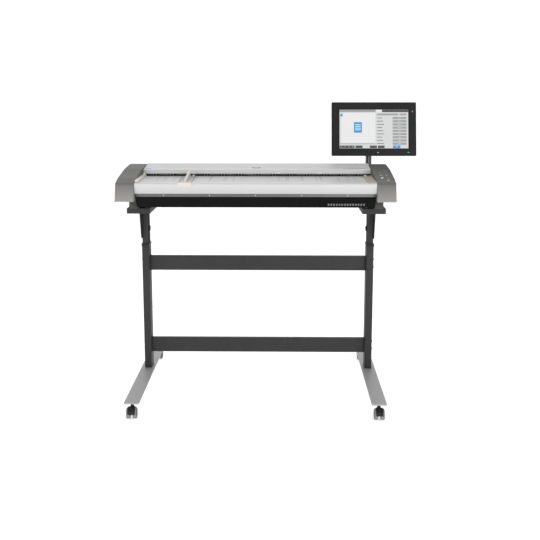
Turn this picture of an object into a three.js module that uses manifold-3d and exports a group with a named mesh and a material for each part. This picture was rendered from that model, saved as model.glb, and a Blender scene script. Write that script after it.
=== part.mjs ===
// Wide-format sheet-fed scanner on a height-adjustable stand, with a touch screen on a post.
// Millimetres, +Z up. X runs along the scanner, +Y away from the operator.
// The model is drawn from the middle of the feed table's front edge at floor level, and the whole group
// is moved at the end so that its box stands centred on the origin.

import * as THREE from 'three';
import { mergeVertices } from 'three/addons/utils/BufferGeometryUtils.js';
import Module from 'manifold-3d';

const wasm = await Module();
wasm.setup();

// ---------------------------------------------------------------- driving dimensions
const GAP = 0.3;                 // kept between pieces that touch
const SHEET = 2.5;               // folded steel sheet
const MOULD = 3;                 // moulded plastic wall
const SIDES = [-1, 1];           // left, right

const MEDIA_HALF = 545;          // half of the space between the end caps
const CAP_HALF = 630;            // half of the scanner's overall width
const PAPER_Z = 1064.5;          // height of the paper path
const TABLE = { front: 0, frontZ: 1058, slotY: 240, slotZ: 1064, lipZ: 1010 };
const TABLE_HALF = MEDIA_HALF - GAP;
const REAR_TABLE = { slotY: 366, slotZ: 1064, rearY: 491, rearZ: 1060, lipZ: 1012 };
const RAIL = { y0: 4, y1: 11.7, z0: 996, z1: 1009.7 };
const LIP = { fold: 11, outer: 8, inner: 5.5, bottom: 3 };      // the folded edges of both tables

const FEED = { frontY: 252, rearY: 354, radius: 11, shaft: 4, half: 530 };
const FEED_Z = PAPER_Z - FEED.radius;
const PINCH = { radius: 8, shaft: 3, nip: 0.5, rollers: 13, length: 32, pitch: 82 };
const PINCH_Z = PAPER_Z + PINCH.nip + PINCH.radius;
const GLASS = { half: 538, y0: 266, y1: 340, z0: 1060, z1: 1064 };
const PLATEN = { half: 530, y0: 264, y1: 342, z: PAPER_Z + 1.5, thickness: 3 };
const BELT = { x0: -572, x1: -560, thickness: 1.5, rollerPulley: 14, motorPulley: 9 };
const MOTOR = { y: 303, z: 1005, size: 56, x0: -541.2, x1: -495 };

const LID = { frontY: 232, rearY: 466, frontZ: 1075, half: MEDIA_HALF - 1.5 };
const LID_PIVOT = { y: 452, z: 1086, radius: 4 };

const TRAY = { frontY: 12, noseZ: 996, bottomZ: 939, flatY0: 60, flatY1: 450, rearY: 472, heelZ: 961,
  rimZ: 1050, half: MEDIA_HALF - 1 };
const WING = { x: 600, y0: 90, y1: 370, z: 977 };
const COVER = { y0: 473, y1: 476, z0: 945, z1: 1011.5 };
const VENTS = { count: 14, pitch: 12.4 };
const TRAY_VENT = { x: 328, width: 7, z0: 949, z1: 960 };
const COVER_VENT = { x: 300, width: 6, z0: 960, z1: 990 };
const INLET = { x0: -514, x1: -486, z0: 966, z1: 990, rim: 3, y0: 472.4, y1: 479, socketY: 474 };
const PORTS = [
  { x0: -440, x1: -426, z0: 975, z1: 989 },
  { x0: -412, x1: -404, z0: 975, z1: 988 },
];

const CAMERA = { count: 4, pitch: 260, y: 303, z: 976, size: 60, half: 95 };
const BARREL = { radius: 16, bore: 11, z0: 1000, z1: 1016, depth: 5 };
const BOARD = { x0: 150, x1: 400, y0: 80, y1: 210, z: 952, thickness: 1.6 };
const CHIPS = [
  { x: 180, y: 100, width: 40, depth: 40, height: 5 },
  { x: 250, y: 120, width: 55, depth: 30, height: 9 },
  { x: 330, y: 95, width: 30, depth: 60, height: 12 },
  { x: 180, y: 165, width: 90, depth: 20, height: 14 },
  { x: 300, y: 175, width: 70, depth: 18, height: 10 },
];
const SUPPLY = { x0: -430, x1: -230, y0: 90, y1: 200, z0: 945, z1: 988 };

const CAP = { bottomZ: 976, rearY: 495 };
const PANEL = { y: 48, z: 1074, slope: Math.atan2(28, 163) };   // the control panel's flat on the right cap
const BUTTON = { radius: 4.6, flange: 6.5, clearance: 0.4, proud: 1.5 };
const BUTTONS = [
  { name: 'button_scan', x: 574, y: 60, stretch: 1.4 },
  { name: 'button_copy', x: 574, y: 102, stretch: 1 },
  { name: 'button_feed_forward', x: 574, y: 145, stretch: 1 },
  { name: 'button_stop', x: 600, y: 56, stretch: 1 },
  { name: 'button_feed_back', x: 600, y: 103, stretch: 1 },
  { name: 'button_power', x: 600, y: 173, stretch: 1 },
];

const GUIDE = { x0: -350, x1: -288.5, frontY: -4, plateY: 16, rearY: 206, thickness: 2.5, finHalf: 5 };
const FIN = { top: 1092, step: 1088 };
const EDGE_GUIDE = { rearY: 228, lift: 0.4 };

const STAND = { footX: 560, columnX: 557.7, plateZ: 904 };
const BLOCK = { inner: 544.3, outer: 586, y0: 80, y1: 380 };
const FOOT = { width: 69, top: 73, thickness: 7, front: -123, rear: 690, stemHole: 5.3, holeDepth: 5.5 };
const COLUMN = { width: 35.5, depth: 64, front: 312, top: 715 };
const BRACKET = { inner: 492, outer: 600, front: 92, rear: 410, height: 24.5, overlap: 200 };
const GUSSET = { bottomZ: 745, bottomY: [300, 366], topY: [253, 400] };
const BAR = { front: 330, depth: 30, height: 71.5, upperZ: 578, lowerZ: 152 };

const CASTER = {
  wheel: 25, half: 24, web: 5.6, hood: 29, hoodHalf: 16.5, trail: 20, stem: 5, frontY: -100, rearY: 657,
};
const CASTERS = [
  { name: 'front_left', side: -1, y: CASTER.frontY, yaw: 3 },
  { name: 'front_right', side: 1, y: CASTER.frontY, yaw: -1 },
  { name: 'rear_left', side: -1, y: CASTER.rearY, yaw: -6 },
  { name: 'rear_right', side: 1, y: CASTER.rearY, yaw: 5 },
];

const POST = { x: 570, y: 562, width: 27, depth: 38, bottom: 985, top: 1236, spigot: 8 };
const SCREEN = { x: 582, y: 455, z: 1277.5, tilt: 11, width: 425, height: 271, depth: 38 };
const WINDOW = { width: 353, height: 200 };
const KNUCKLE = { behind: 14, pin: 4.5, radius: 10, tongue: 10, ear: 6 };
const HUB = { half: 14, reach: 18, height: 30 };

// ---------------------------------------------------------------- looks
const graphite = { color: 0x6f6d6a, roughness: 0.45, metalness: 0.5 };
const silver = { color: 0xc9cacb, roughness: 0.4, metalness: 0.5 };
const pearl = { color: 0xdedfe0, roughness: 0.45, metalness: 0.1 };
const greyRail = { color: 0x7d7d7d, roughness: 0.5, metalness: 0.4 };
const black = { color: 0x1a1a1a, roughness: 0.6, metalness: 0.1 };
const charcoal = { color: 0x464646, roughness: 0.6, metalness: 0.3 };
const footSilver = { color: 0xa3a3a3, roughness: 0.45, metalness: 0.6 };
const casterBlack = { color: 0x1e1e1e, roughness: 0.5, metalness: 0 };
const casterGrey = { color: 0x8c8c8c, roughness: 0.6, metalness: 0 };
const beige = { color: 0xe1d7c8, roughness: 0.5, metalness: 0 };
const tan = { color: 0xc0ad98, roughness: 0.5, metalness: 0 };
const clear = { color: 0xe8ecec, roughness: 0.1, metalness: 0 };
const rubber = { color: 0x2a2a2a, roughness: 0.9, metalness: 0 };
const whitePlastic = { color: 0xf2f2f0, roughness: 0.5, metalness: 0 };
const steel = { color: 0xb8b8ba, roughness: 0.3, metalness: 0.9 };
const screenLit = { color: 0xd0d6da, roughness: 0.2, metalness: 0 };
const boardGreen = { color: 0x24583a, roughness: 0.6, metalness: 0.1 };
const redPlastic = { color: 0xc03028, roughness: 0.4, metalness: 0 };

// ---------------------------------------------------------------- solids
function toManifold(geometry) {
  const bare = geometry.clone();
  bare.deleteAttribute('normal');
  bare.deleteAttribute('uv');
  const welded = mergeVertices(bare, 1e-4);
  const position = welded.attributes.position;
  const vertProperties = position.array.slice(0, position.count * 3);
  const triVerts = new Uint32Array(welded.index.array);
  return new wasm.Manifold(new wasm.Mesh({ numProp: 3, vertProperties, triVerts }));
}

function toGeometry(manifold) {
  const mesh = manifold.getMesh();
  const geometry = new THREE.BufferGeometry();
  geometry.setAttribute('position', new THREE.BufferAttribute(mesh.vertProperties, 3));
  geometry.setIndex(new THREE.BufferAttribute(mesh.triVerts, 1));
  geometry.computeVertexNormals();
  return geometry;
}

const join = (...solids) => toGeometry(solids.map(toManifold).reduce((a, b) => a.add(b)));
const cut = (body, ...tools) => toGeometry(
  tools.map(toManifold).reduce((a, b) => a.subtract(b), toManifold(body)));

function box(x0, x1, y0, y1, z0, z1) {
  return new THREE.BoxGeometry(x1 - x0, y1 - y0, z1 - z0)
    .translate((x0 + x1) / 2, (y0 + y1) / 2, (z0 + z1) / 2);
}

function rod(axis, radius, from, to, a, b, segments = 20) {
  const geometry = new THREE.CylinderGeometry(radius, radius, to - from, segments);
  const middle = (from + to) / 2;
  if (axis === 'x') return geometry.rotateZ(-Math.PI / 2).translate(middle, a, b);
  if (axis === 'y') return geometry.translate(a, middle, b);
  return geometry.rotateX(Math.PI / 2).translate(a, b, middle);
}

// A closed outline through corners [a, b, radius], each corner rounded by its radius.
function outline(corners) {
  const shape = new THREE.Shape();
  corners.forEach(([a, b, radius = 0], i) => {
    const here = new THREE.Vector2(a, b);
    const neighbour = (step) => new THREE.Vector2(...corners.at((i + step) % corners.length));
    const towards = (other) => other.sub(here).setLength(radius || 1e-9).add(here);
    const start = towards(neighbour(-1));
    const end = towards(neighbour(1));
    if (i === 0) shape.moveTo(start.x, start.y);
    else shape.lineTo(start.x, start.y);
    if (radius) shape.quadraticCurveTo(a, b, end.x, end.y);
  });
  shape.closePath();
  return shape;
}

// The same corners moved inwards by a wall. They go anticlockwise round a convex outline.
function inset(corners, wall) {
  return corners.map(([a, b, radius = 0], i) => {
    const unit = (p, q) => new THREE.Vector2(q[0] - p[0], q[1] - p[1]).normalize();
    const before = unit(corners.at(i - 1), corners[i]);
    const after = unit(corners[i], corners[(i + 1) % corners.length]);
    const inward = new THREE.Vector2(-before.y - after.y, before.x + after.x);
    const shift = wall / (1 + before.dot(after));
    return [a + inward.x * shift, b + inward.y * shift, Math.max(radius - wall, 0)];
  });
}

// A shape drawn in (y, z) made into a solid that runs along X.
const ALONG_X = new THREE.Matrix4().makeBasis(
  new THREE.Vector3(0, 1, 0), new THREE.Vector3(0, 0, 1), new THREE.Vector3(1, 0, 0));

function prism(shape, x0, x1, bevel = 0) {
  return new THREE.ExtrudeGeometry(shape, {
    depth: x1 - x0 - 2 * bevel,
    curveSegments: 4,
    bevelEnabled: bevel > 0,
    bevelSize: bevel,
    bevelThickness: bevel,
    bevelOffset: -bevel,
    bevelSegments: 2,
  }).translate(0, 0, x0 + bevel).applyMatrix4(ALONG_X);
}

// The same, mirrored for the left or the right side. inner and outer are distances from the middle.
function sidePrism(shape, side, inner, outer, bevel = 0) {
  return prism(shape, ...span(side, inner, outer), bevel);
}

function sideBox(side, inner, outer, y0, y1, z0, z1) {
  return box(...span(side, inner, outer), y0, y1, z0, z1);
}

// A round piece about X. The profile is [radius, x] from axis to axis. Flats touch the given radius.
function turned(profile, y, z, segments = 24) {
  const reach = 1 / Math.cos(Math.PI / segments);
  const points = profile.map(([radius, x]) => new THREE.Vector2(radius * reach, x));
  return new THREE.LatheGeometry(points, segments)
    .rotateY(Math.PI / segments)
    .rotateZ(-Math.PI / 2)
    .translate(0, y, z);
}

// An upright tube of rectangular section, open at both ends.
function tube(x, y, width, depth, wall, z0, z1) {
  const ring = outline(rectangle(x, y, width, depth, 3));
  ring.holes.push(outline(rectangle(x, y, width - 2 * wall, depth - 2 * wall, 0.8)));
  return new THREE.ExtrudeGeometry(ring, { depth: z1 - z0, bevelEnabled: false, curveSegments: 3 })
    .translate(0, 0, z0);
}

function rectangle(a, b, width, height, radius) {
  return [
    [a - width / 2, b - height / 2, radius],
    [a + width / 2, b - height / 2, radius],
    [a + width / 2, b + height / 2, radius],
    [a - width / 2, b + height / 2, radius],
  ];
}

function add(group, name, geometry, look) {
  const mesh = new THREE.Mesh(geometry, new THREE.MeshStandardMaterial(look));
  mesh.name = name;
  group.add(mesh);
}

const sideName = (side) => (side < 0 ? 'left' : 'right');
const span = (side, inner, outer) => (side > 0 ? [inner, outer] : [-outer, -inner]);
const tableZ = (y) => TABLE.frontZ + (TABLE.slotZ - TABLE.frontZ) * (y / TABLE.slotY);

// ---------------------------------------------------------------- stand
function foot(side) {
  const middle = (FOOT.front + FOOT.rear) / 2;
  const plan = outline(rectangle(side * STAND.footX, middle, FOOT.width, FOOT.rear - FOOT.front, 5));
  const bevel = 1;
  const bar = new THREE.ExtrudeGeometry(plan, {
    depth: FOOT.thickness - 2 * bevel,
    curveSegments: 3,
    bevelSize: bevel,
    bevelThickness: bevel,
    bevelOffset: -bevel,
    bevelSegments: 1,
  }).translate(0, 0, FOOT.top - FOOT.thickness + bevel);
  const base = FOOT.top - FOOT.thickness;
  const holes = [CASTER.frontY, CASTER.rearY].map(
    (y) => rod('z', FOOT.stemHole, base - 1, base + FOOT.holeDepth, side * STAND.footX, y));
  return cut(bar, ...holes);
}

function column(side) {
  const y = COLUMN.front + COLUMN.depth / 2;
  return tube(side * STAND.columnX, y, COLUMN.width, COLUMN.depth, SHEET, FOOT.top + GAP, COLUMN.top);
}

// The inner post that slides in the column, the folded top plate that it carries, and the gusset.
function bracket(side) {
  const x = side * STAND.columnX;
  const y = COLUMN.front + COLUMN.depth / 2;
  const slack = 2 * (SHEET + GAP);
  const top = STAND.plateZ + BRACKET.height;
  const width = COLUMN.width - slack;
  const post = tube(x, y, width, COLUMN.depth - slack, SHEET, COLUMN.top - BRACKET.overlap, top - 1);
  const pan = cut(
    sideBox(side, BRACKET.inner, BRACKET.outer, BRACKET.front, BRACKET.rear, STAND.plateZ, top),
    sideBox(side, BRACKET.inner + SHEET, BRACKET.outer - SHEET,
      BRACKET.front + SHEET, BRACKET.rear - SHEET, STAND.plateZ - 1, top - SHEET));
  const outside = STAND.columnX + width / 2;
  const { bottomZ, bottomY, topY } = GUSSET;
  const triangle = outline([
    [bottomY[0], bottomZ, 3], [bottomY[1], bottomZ, 3], [topY[1], top - 1], [topY[0], top - 1],
  ]);
  return join(pan, post, sidePrism(triangle, side, outside - 0.4, outside + SHEET));
}

function crossbar(z0) {
  const half = STAND.columnX - COLUMN.width / 2 - GAP;
  const y = BAR.front + BAR.depth / 2;
  const z = z0 + BAR.height / 2;
  const section = outline(rectangle(y, z, BAR.depth, BAR.height, 3));
  section.holes.push(outline(rectangle(y, z, BAR.depth - 2 * SHEET, BAR.height - 2 * SHEET, 0.8)));
  return prism(section, -half, half);
}

function mountingBlock(side) {
  const z0 = STAND.plateZ + BRACKET.height + GAP;
  return sideBox(side, BLOCK.inner, BLOCK.outer, BLOCK.y0, BLOCK.y1, z0, WING.z - GAP);
}

// Drawn about its own stem at the floor. The wheels trail towards -Y.
function casterHood() {
  const y = -CASTER.trail;
  const z = CASTER.wheel;
  const crown = new THREE.Shape();
  crown.absarc(y, z, CASTER.hood, -0.1, Math.PI - 0.05);
  crown.closePath();
  const bays = SIDES.map(
    (side) => rod('x', CASTER.wheel + 1, ...span(side, CASTER.web, CASTER.half + 5), y, z, 32));
  const top = FOOT.top - FOOT.thickness;
  const boss = rod('z', 6.5, 36, top - GAP, 0, 0);
  const web = rod('x', 11, GAP - CASTER.web, CASTER.web - GAP, y, z);
  const solid = join(prism(crown, -CASTER.hoodHalf, CASTER.hoodHalf), boss, web);
  const stem = rod('z', CASTER.stem, top - 2, top + FOOT.holeDepth - 0.5, 0, 0);
  return join(cut(solid, ...bays, rod('x', 4.4, -40, 40, y, z)), stem);
}

function casterWheels() {
  const { wheel: r, half, web } = CASTER;
  const inside = web + 0.6;
  const profile = [
    [0, -half], [r - 6, -half], [r, 4 - half], [r, -9], [r - 2, -inside], [4, -inside],
    [4, inside], [r - 2, inside], [r, 9], [r, half - 4], [r - 6, half], [0, half],
  ];
  return turned(profile, -CASTER.trail, r);
}

function casters() {
  const all = new THREE.Group();
  for (const { name, side, y, yaw } of CASTERS) {
    const caster = new THREE.Group();
    caster.position.set(side * STAND.footX, y, 0);
    caster.rotation.z = THREE.MathUtils.degToRad(yaw);
    add(caster, `${name}_caster_hood`, casterHood(), casterBlack);
    add(caster, `${name}_caster_wheels`, casterWheels(), casterGrey);
    all.add(caster);
  }
  return all;
}

function stand() {
  const group = new THREE.Group();
  for (const side of SIDES) {
    add(group, `${sideName(side)}_foot`, foot(side), footSilver);
    add(group, `${sideName(side)}_column`, column(side), charcoal);
    add(group, `${sideName(side)}_bracket`, bracket(side), charcoal);
    add(group, `${sideName(side)}_mounting_block`, mountingBlock(side), greyRail);
  }
  add(group, 'upper_crossbar', crossbar(BAR.upperZ), charcoal);
  add(group, 'lower_crossbar', crossbar(BAR.lowerZ), charcoal);
  group.add(casters());
  return group;
}

// ---------------------------------------------------------------- scanner body
// Trough with end plates that carry the rollers, and wings that rest on the mounting blocks.
function baseTray() {
  const corners = [
    [TRAY.frontY, TRAY.noseZ], [TRAY.flatY0, TRAY.bottomZ, 2], [TRAY.flatY1, TRAY.bottomZ, 2],
    [TRAY.rearY, TRAY.heelZ], [TRAY.rearY, TRAY.rimZ], [TRAY.frontY, TRAY.rimZ],
  ];
  const inner = inset(corners, SHEET);
  inner[4][1] += 20;
  inner[5][1] += 20;
  const trough = cut(
    prism(outline(corners), -TRAY.half, TRAY.half),
    prism(outline(inner), SHEET - TRAY.half, TRAY.half - SHEET));
  const extras = [];
  const bores = [];
  for (const side of SIDES) {
    const raised = [FEED.frontY - 9, FEED.rearY + 9, TRAY.rimZ - 5, GLASS.z0 - GAP];
    extras.push(sideBox(side, TRAY.half - SHEET, TRAY.half, ...raised));
    extras.push(sideBox(side, TRAY.half - SHEET, WING.x, WING.y0, WING.y1, WING.z, WING.z + SHEET));
    for (const y of [FEED.frontY, FEED.rearY]) {
      bores.push(rod('x', FEED.shaft + 0.4, ...span(side, TRAY.half - 10, TRAY.half + 10), y, FEED_Z));
    }
  }
  bores.push(rod('x', 8, -TRAY.half - 10, -TRAY.half + 10, MOTOR.y, MOTOR.z));
  bores.push(...ventSlots(TRAY_VENT, TRAY.flatY0 - 30, TRAY.flatY0));
  return cut(join(trough, ...extras), ...bores);
}

function ventSlots({ x, width, z0, z1 }, y0, y1) {
  return Array.from({ length: VENTS.count }, (_, i) => {
    const from = x + i * VENTS.pitch;
    return box(from, from + width, y0, y1, z0, z1);
  });
}

function frontTable() {
  const { front, frontZ, slotY, slotZ, lipZ } = TABLE;
  return foldedTable(slotY, slotZ, front, frontZ, lipZ, 1);
}

// A sheet from the paper slot to its rounded edge, folded down and back in. inward is +1 or -1 along Y.
function foldedTable(slotY, slotZ, edgeY, edgeZ, lipZ, inward) {
  const t = SHEET;
  const at = (distance) => edgeY + inward * distance;
  return prism(outline([
    [slotY, slotZ], [edgeY, edgeZ, LIP.outer], [edgeY, lipZ, LIP.bottom], [at(LIP.fold), lipZ],
    [at(LIP.fold), lipZ + t], [at(t), lipZ + t, 0.8], [at(t), edgeZ - t, LIP.inner], [slotY, slotZ - t],
  ]), -TABLE_HALF, TABLE_HALF);
}

function rearTable() {
  const { slotY, slotZ, rearY, rearZ, lipZ } = REAR_TABLE;
  return foldedTable(slotY, slotZ, rearY, rearZ, lipZ, -1);
}

function trimRail() {
  const { y0, y1, z0, z1 } = RAIL;
  return prism(outline([[y0, z0, 1], [y1, z0], [y1, z1], [y0, z1, 1]]), -TABLE_HALF, TABLE_HALF);
}

// Sheet cover behind the tray, with an opening for the power inlet, ports and vents.
function rearCover() {
  const sheet = box(-TABLE_HALF, TABLE_HALF, COVER.y0, COVER.y1, COVER.z0, COVER.z1);
  const through = [COVER.y0 - 3, COVER.y1 + 3];
  const openings = [INLET, ...PORTS].map(({ x0, x1, z0, z1 }) => box(x0, x1, ...through, z0, z1));
  return cut(sheet, ...openings, ...ventSlots(COVER_VENT, ...through));
}

function powerInlet() {
  const { x0, x1, z0, z1, rim, y0, y1, socketY } = INLET;
  const body = join(
    box(x0 + GAP, x1 - GAP, y0, y1, z0 + GAP, z1 - GAP),
    box(x0 - rim, x1 + rim, COVER.y1 + GAP, y1, z0 - rim, z1 + rim));
  const recess = box(x0 + 3, x1 - 3, socketY, y1 + 3, z0 + 4, z1 - 4);
  const pins = [-7, 0, 7].map((dx) => {
    const x = (x0 + x1) / 2 + dx;
    const z = (z0 + z1) / 2 + (dx === 0 ? 4 : 0);
    return box(x - 1, x + 1, socketY - 0.5, y1 - 0.4, z - 2, z + 2);
  });
  return join(cut(body, recess), ...pins);
}

const CAP_CORNERS = [
  [-27, CAP.bottomZ, 6], [CAP.rearY, CAP.bottomZ, 6], [CAP.rearY, 1040, 20], [482, 1094, 14],
  [440, 1102, 20], [346, 1111.5, 20], [211, 1102, 20], [PANEL.y, PANEL.z, 12], [0, 1058, 10],
];

function onPanel(geometry, x, y) {
  const z = PANEL.z + (y - PANEL.y) * Math.tan(PANEL.slope);
  return geometry.rotateX(PANEL.slope).translate(x, y, z);
}

// Moulded shell, open below, with a window in its inner wall behind the tray's end plate.
function endCap(side) {
  const shell = sidePrism(outline(CAP_CORNERS), side, MEDIA_HALF, CAP_HALF, 2);
  const hollow = inset(CAP_CORNERS, MOULD);
  hollow[0][1] -= 10;
  hollow[1][1] -= 10;
  const pinReach = span(side, MEDIA_HALF - 5, MEDIA_HALF + 6);
  const tools = [
    sidePrism(outline(hollow), side, MEDIA_HALF + MOULD, CAP_HALF - MOULD),
    sideBox(side, MEDIA_HALF - 5, MEDIA_HALF + MOULD + 1, 20, 470, CAP.bottomZ - 6, 1062),
    rod('x', LID_PIVOT.radius + 0.4, ...pinReach, LID_PIVOT.y, LID_PIVOT.z),
  ];
  if (side > 0) {
    for (const { x, y, stretch } of BUTTONS) {
      const hole = rod('z', BUTTON.radius + BUTTON.clearance, -8, 5, 0, 0).scale(stretch, 1, 1);
      tools.push(onPanel(hole, x, y));
    }
  }
  return cut(shell, ...tools);
}

function button({ x, y, stretch }) {
  const stem = rod('z', BUTTON.radius, -4, BUTTON.proud, 0, 0);
  const flange = rod('z', BUTTON.flange, -5, -MOULD - BUTTON.clearance, 0, 0);
  return onPanel(join(stem, flange).scale(stretch, 1, 1), x, y);
}

function hingePin(side) {
  const r = LID_PIVOT.radius;
  const head = MEDIA_HALF + MOULD + 1;
  const tip = LID.half - 9.5;
  const profile = [[0, tip], [r, tip], [r, head], [r + 3, head], [r + 3, head + 3], [0, head + 3]];
  const pin = turned(profile, 0, 0, 16);
  return (side < 0 ? pin.rotateZ(Math.PI) : pin).translate(0, LID_PIVOT.y, LID_PIVOT.z);
}

// ---------------------------------------------------------------- paper drive and scan head
function feedRoller(y) {
  const { half, radius, shaft } = FEED;
  const pulley = BELT.rollerPulley;
  return turned([
    [0, BELT.x0 - 4], [shaft, BELT.x0 - 4], [shaft, BELT.x0], [pulley, BELT.x0], [pulley, BELT.x1],
    [shaft, BELT.x1], [shaft, -half], [radius, -half], [radius, half], [shaft, half],
    [shaft, TRAY.half + 6], [0, TRAY.half + 6],
  ], y, FEED_Z);
}

function motorPulley() {
  return turned([
    [0, BELT.x0 - 3], [BELT.motorPulley, BELT.x0 - 3], [BELT.motorPulley, BELT.x1 + 2],
    [3, BELT.x1 + 2], [3, MOTOR.x0 - GAP], [0, MOTOR.x0 - GAP],
  ], MOTOR.y, MOTOR.z, 20);
}

// The outline of a belt round three pulleys is the convex hull of their circles.
function beltOutline(offset) {
  const circles = [
    [FEED.frontY, FEED_Z, BELT.rollerPulley],
    [FEED.rearY, FEED_Z, BELT.rollerPulley],
    [MOTOR.y, MOTOR.z, BELT.motorPulley],
  ];
  const points = [];
  for (const [y, z, radius] of circles) {
    for (let i = 0; i < 32; i += 1) {
      const angle = (i / 32) * 2 * Math.PI;
      const reach = radius + offset;
      points.push([y + reach * Math.cos(angle), z + reach * Math.sin(angle)]);
    }
  }
  points.sort((p, q) => p[0] - q[0] || p[1] - q[1]);
  const half = (list) => {
    const chain = [];
    for (const p of list) {
      while (chain.length > 1 && !turnsLeft(chain.at(-2), chain.at(-1), p)) chain.pop();
      chain.push(p);
    }
    return chain.slice(0, -1);
  };
  return [...half(points), ...half(points.reverse())];
}

function turnsLeft(p, q, r) {
  return (q[0] - p[0]) * (r[1] - p[1]) - (q[1] - p[1]) * (r[0] - p[0]) > 1e-9;
}

function driveBelt() {
  const clearance = 0.6;
  const loop = outline(beltOutline(clearance + BELT.thickness));
  loop.holes.push(outline(beltOutline(clearance)));
  return prism(loop, BELT.x0 + 1, BELT.x1 - 1);
}

function feedMotor() {
  const { y, z, size, x0, x1 } = MOTOR;
  const body = prism(outline(rectangle(y, z, size, size, 5)), x0, x1, 1);
  return cut(body, rod('x', 10, x0 - 5, x0 + 1.5, y, z));
}

// Box with a lens barrel that looks up through the scan glass.
function camera(x) {
  const { y, z, size, half } = CAMERA;
  const { radius, bore, z0, z1, depth } = BARREL;
  const body = prism(outline(rectangle(y, z, size, size, 4)), x - half, x + half, 1.5);
  return cut(join(body, rod('z', radius, z0, z1, x, y)), rod('z', bore, z1 - depth, z1 + depth, x, y));
}

function lightBar() {
  const y = GLASS.y0 + 2;
  const z = GLASS.z0 - 26;
  const section = outline([[y, z, 1], [y + 16, z, 1], [y + 19, z + 14, 1], [y + 4, z + 20, 1]]);
  return prism(section, 13 - GLASS.half, GLASS.half - 13);
}

function mainBoard() {
  const { x0, x1, y0, y1, z, thickness } = BOARD;
  const chips = CHIPS.map(({ x, y, width, depth, height }) => (
    box(x, x + width, y, y + depth, z + thickness / 2, z + height)));
  return join(box(x0, x1, y0, y1, z, z + thickness), ...chips);
}

function powerSupply() {
  const { x0, x1, y0, y1, z0, z1 } = SUPPLY;
  return prism(outline([[y0, z0, 3], [y1, z0, 3], [y1, z1, 3], [y0, z1, 3]]), x0, x1, 1);
}

// ---------------------------------------------------------------- lid
const LID_CORNERS = [
  [LID.frontY, LID.frontZ, 1.5], [LID.rearY, 1075, 12], [LID.rearY, 1101, 12],
  [359, 1113, 5], [LID.frontY, 1096, 4],
];

function lidShell() {
  const hollow = inset(LID_CORNERS, MOULD);
  hollow[0][1] -= 12;
  hollow[1][1] -= 12;
  const bores = [];
  for (const side of SIDES) {
    const reach = span(side, LID.half - 8, LID.half + 5);
    bores.push(rod('x', LID_PIVOT.radius + 0.4, ...reach, LID_PIVOT.y, LID_PIVOT.z));
    for (const y of [FEED.frontY, FEED.rearY]) {
      bores.push(rod('x', PINCH.shaft + 0.4, ...reach, y, PINCH_Z));
    }
  }
  const shell = prism(outline(LID_CORNERS), -LID.half, LID.half, 1);
  return cut(shell, prism(outline(hollow), MOULD - LID.half, LID.half - MOULD), ...bores);
}

function pinchShaft(y) {
  const { radius, shaft, rollers, length, pitch } = PINCH;
  const profile = [[0, -LID.half + GAP], [shaft, -LID.half + GAP]];
  for (let i = 0; i < rollers; i += 1) {
    const middle = (i - (rollers - 1) / 2) * pitch;
    const from = middle - length / 2;
    const to = middle + length / 2;
    profile.push([shaft, from], [radius, from], [radius, to], [shaft, to]);
  }
  profile.push([shaft, LID.half - GAP], [0, LID.half - GAP]);
  return turned(profile, y, PINCH_Z, 12);
}

// White bar that holds the paper down on the scan glass.
function pressurePlate() {
  const { half, y0, y1, z, thickness } = PLATEN;
  return prism(outline([
    [y0, z + 1], [y0 + 3, z], [y1 - 3, z], [y1, z + 1], [y1, z + thickness], [y0, z + thickness],
  ]), -half, half);
}

// ---------------------------------------------------------------- paper guides
// A strip that lies along the table from frontY to the paper slot.
function edgeGuide(frontY, thickness, radii, x0, x1, bevel) {
  const { rearY, lift } = EDGE_GUIDE;
  return prism(outline([
    [frontY, tableZ(frontY) + lift, radii.bottom], [rearY, tableZ(rearY) + lift, radii.bottom],
    [rearY, tableZ(rearY) + lift + thickness, radii.rear],
    [frontY, tableZ(frontY) + lift + thickness, radii.front],
  ]), x0, x1, bevel);
}

const leftEdgeGuide = () => edgeGuide(
  15, 11.6, { bottom: 3, rear: 4, front: 6 }, 0.5 - MEDIA_HALF, 16 - MEDIA_HALF, 1);

const rightEdgeGuide = () => edgeGuide(
  10, 3, { bottom: 0, rear: 1, front: 1 }, MEDIA_HALF - 40, MEDIA_HALF - 0.5, 0);

function guidePlate() {
  const { x0, x1, plateY, rearY, thickness } = GUIDE;
  const { lift } = EDGE_GUIDE;
  return prism(outline([
    [plateY, tableZ(plateY) + lift], [rearY, tableZ(rearY) + lift],
    [rearY, tableZ(rearY) + lift + thickness, 1], [plateY, tableZ(plateY) + lift + thickness],
  ]), x0, x1);
}

// Clip that hooks over the table's lip, and the upright fin behind it.
function guideFin() {
  const { x0, x1, frontY, plateY, rearY, thickness, finHalf } = GUIDE;
  const hookZ = TABLE.frontZ - 15;
  const top = tableZ(0) + thickness + 1.2;
  const clip = prism(outline([
    [frontY, hookZ, 1], [-0.6, hookZ, 1], [-0.6, tableZ(0) + 0.6, 6],
    [plateY - GAP, tableZ(plateY) + 0.5], [plateY - GAP, top + 1], [frontY, top, 4],
  ]), x0, x1, 0.5);
  const foot = tableZ(plateY) + thickness + 0.8;
  const middle = (x0 + x1) / 2;
  const fin = prism(outline([
    [10, foot - 1], [plateY, foot], [rearY, tableZ(rearY) + thickness + 0.8], [rearY, FIN.top, 5],
    [rearY - 45, FIN.step, 12], [40, foot + 7, 20], [10, foot + 1],
  ]), middle - finHalf, middle + finHalf, 1);
  return join(clip, fin);
}

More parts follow.
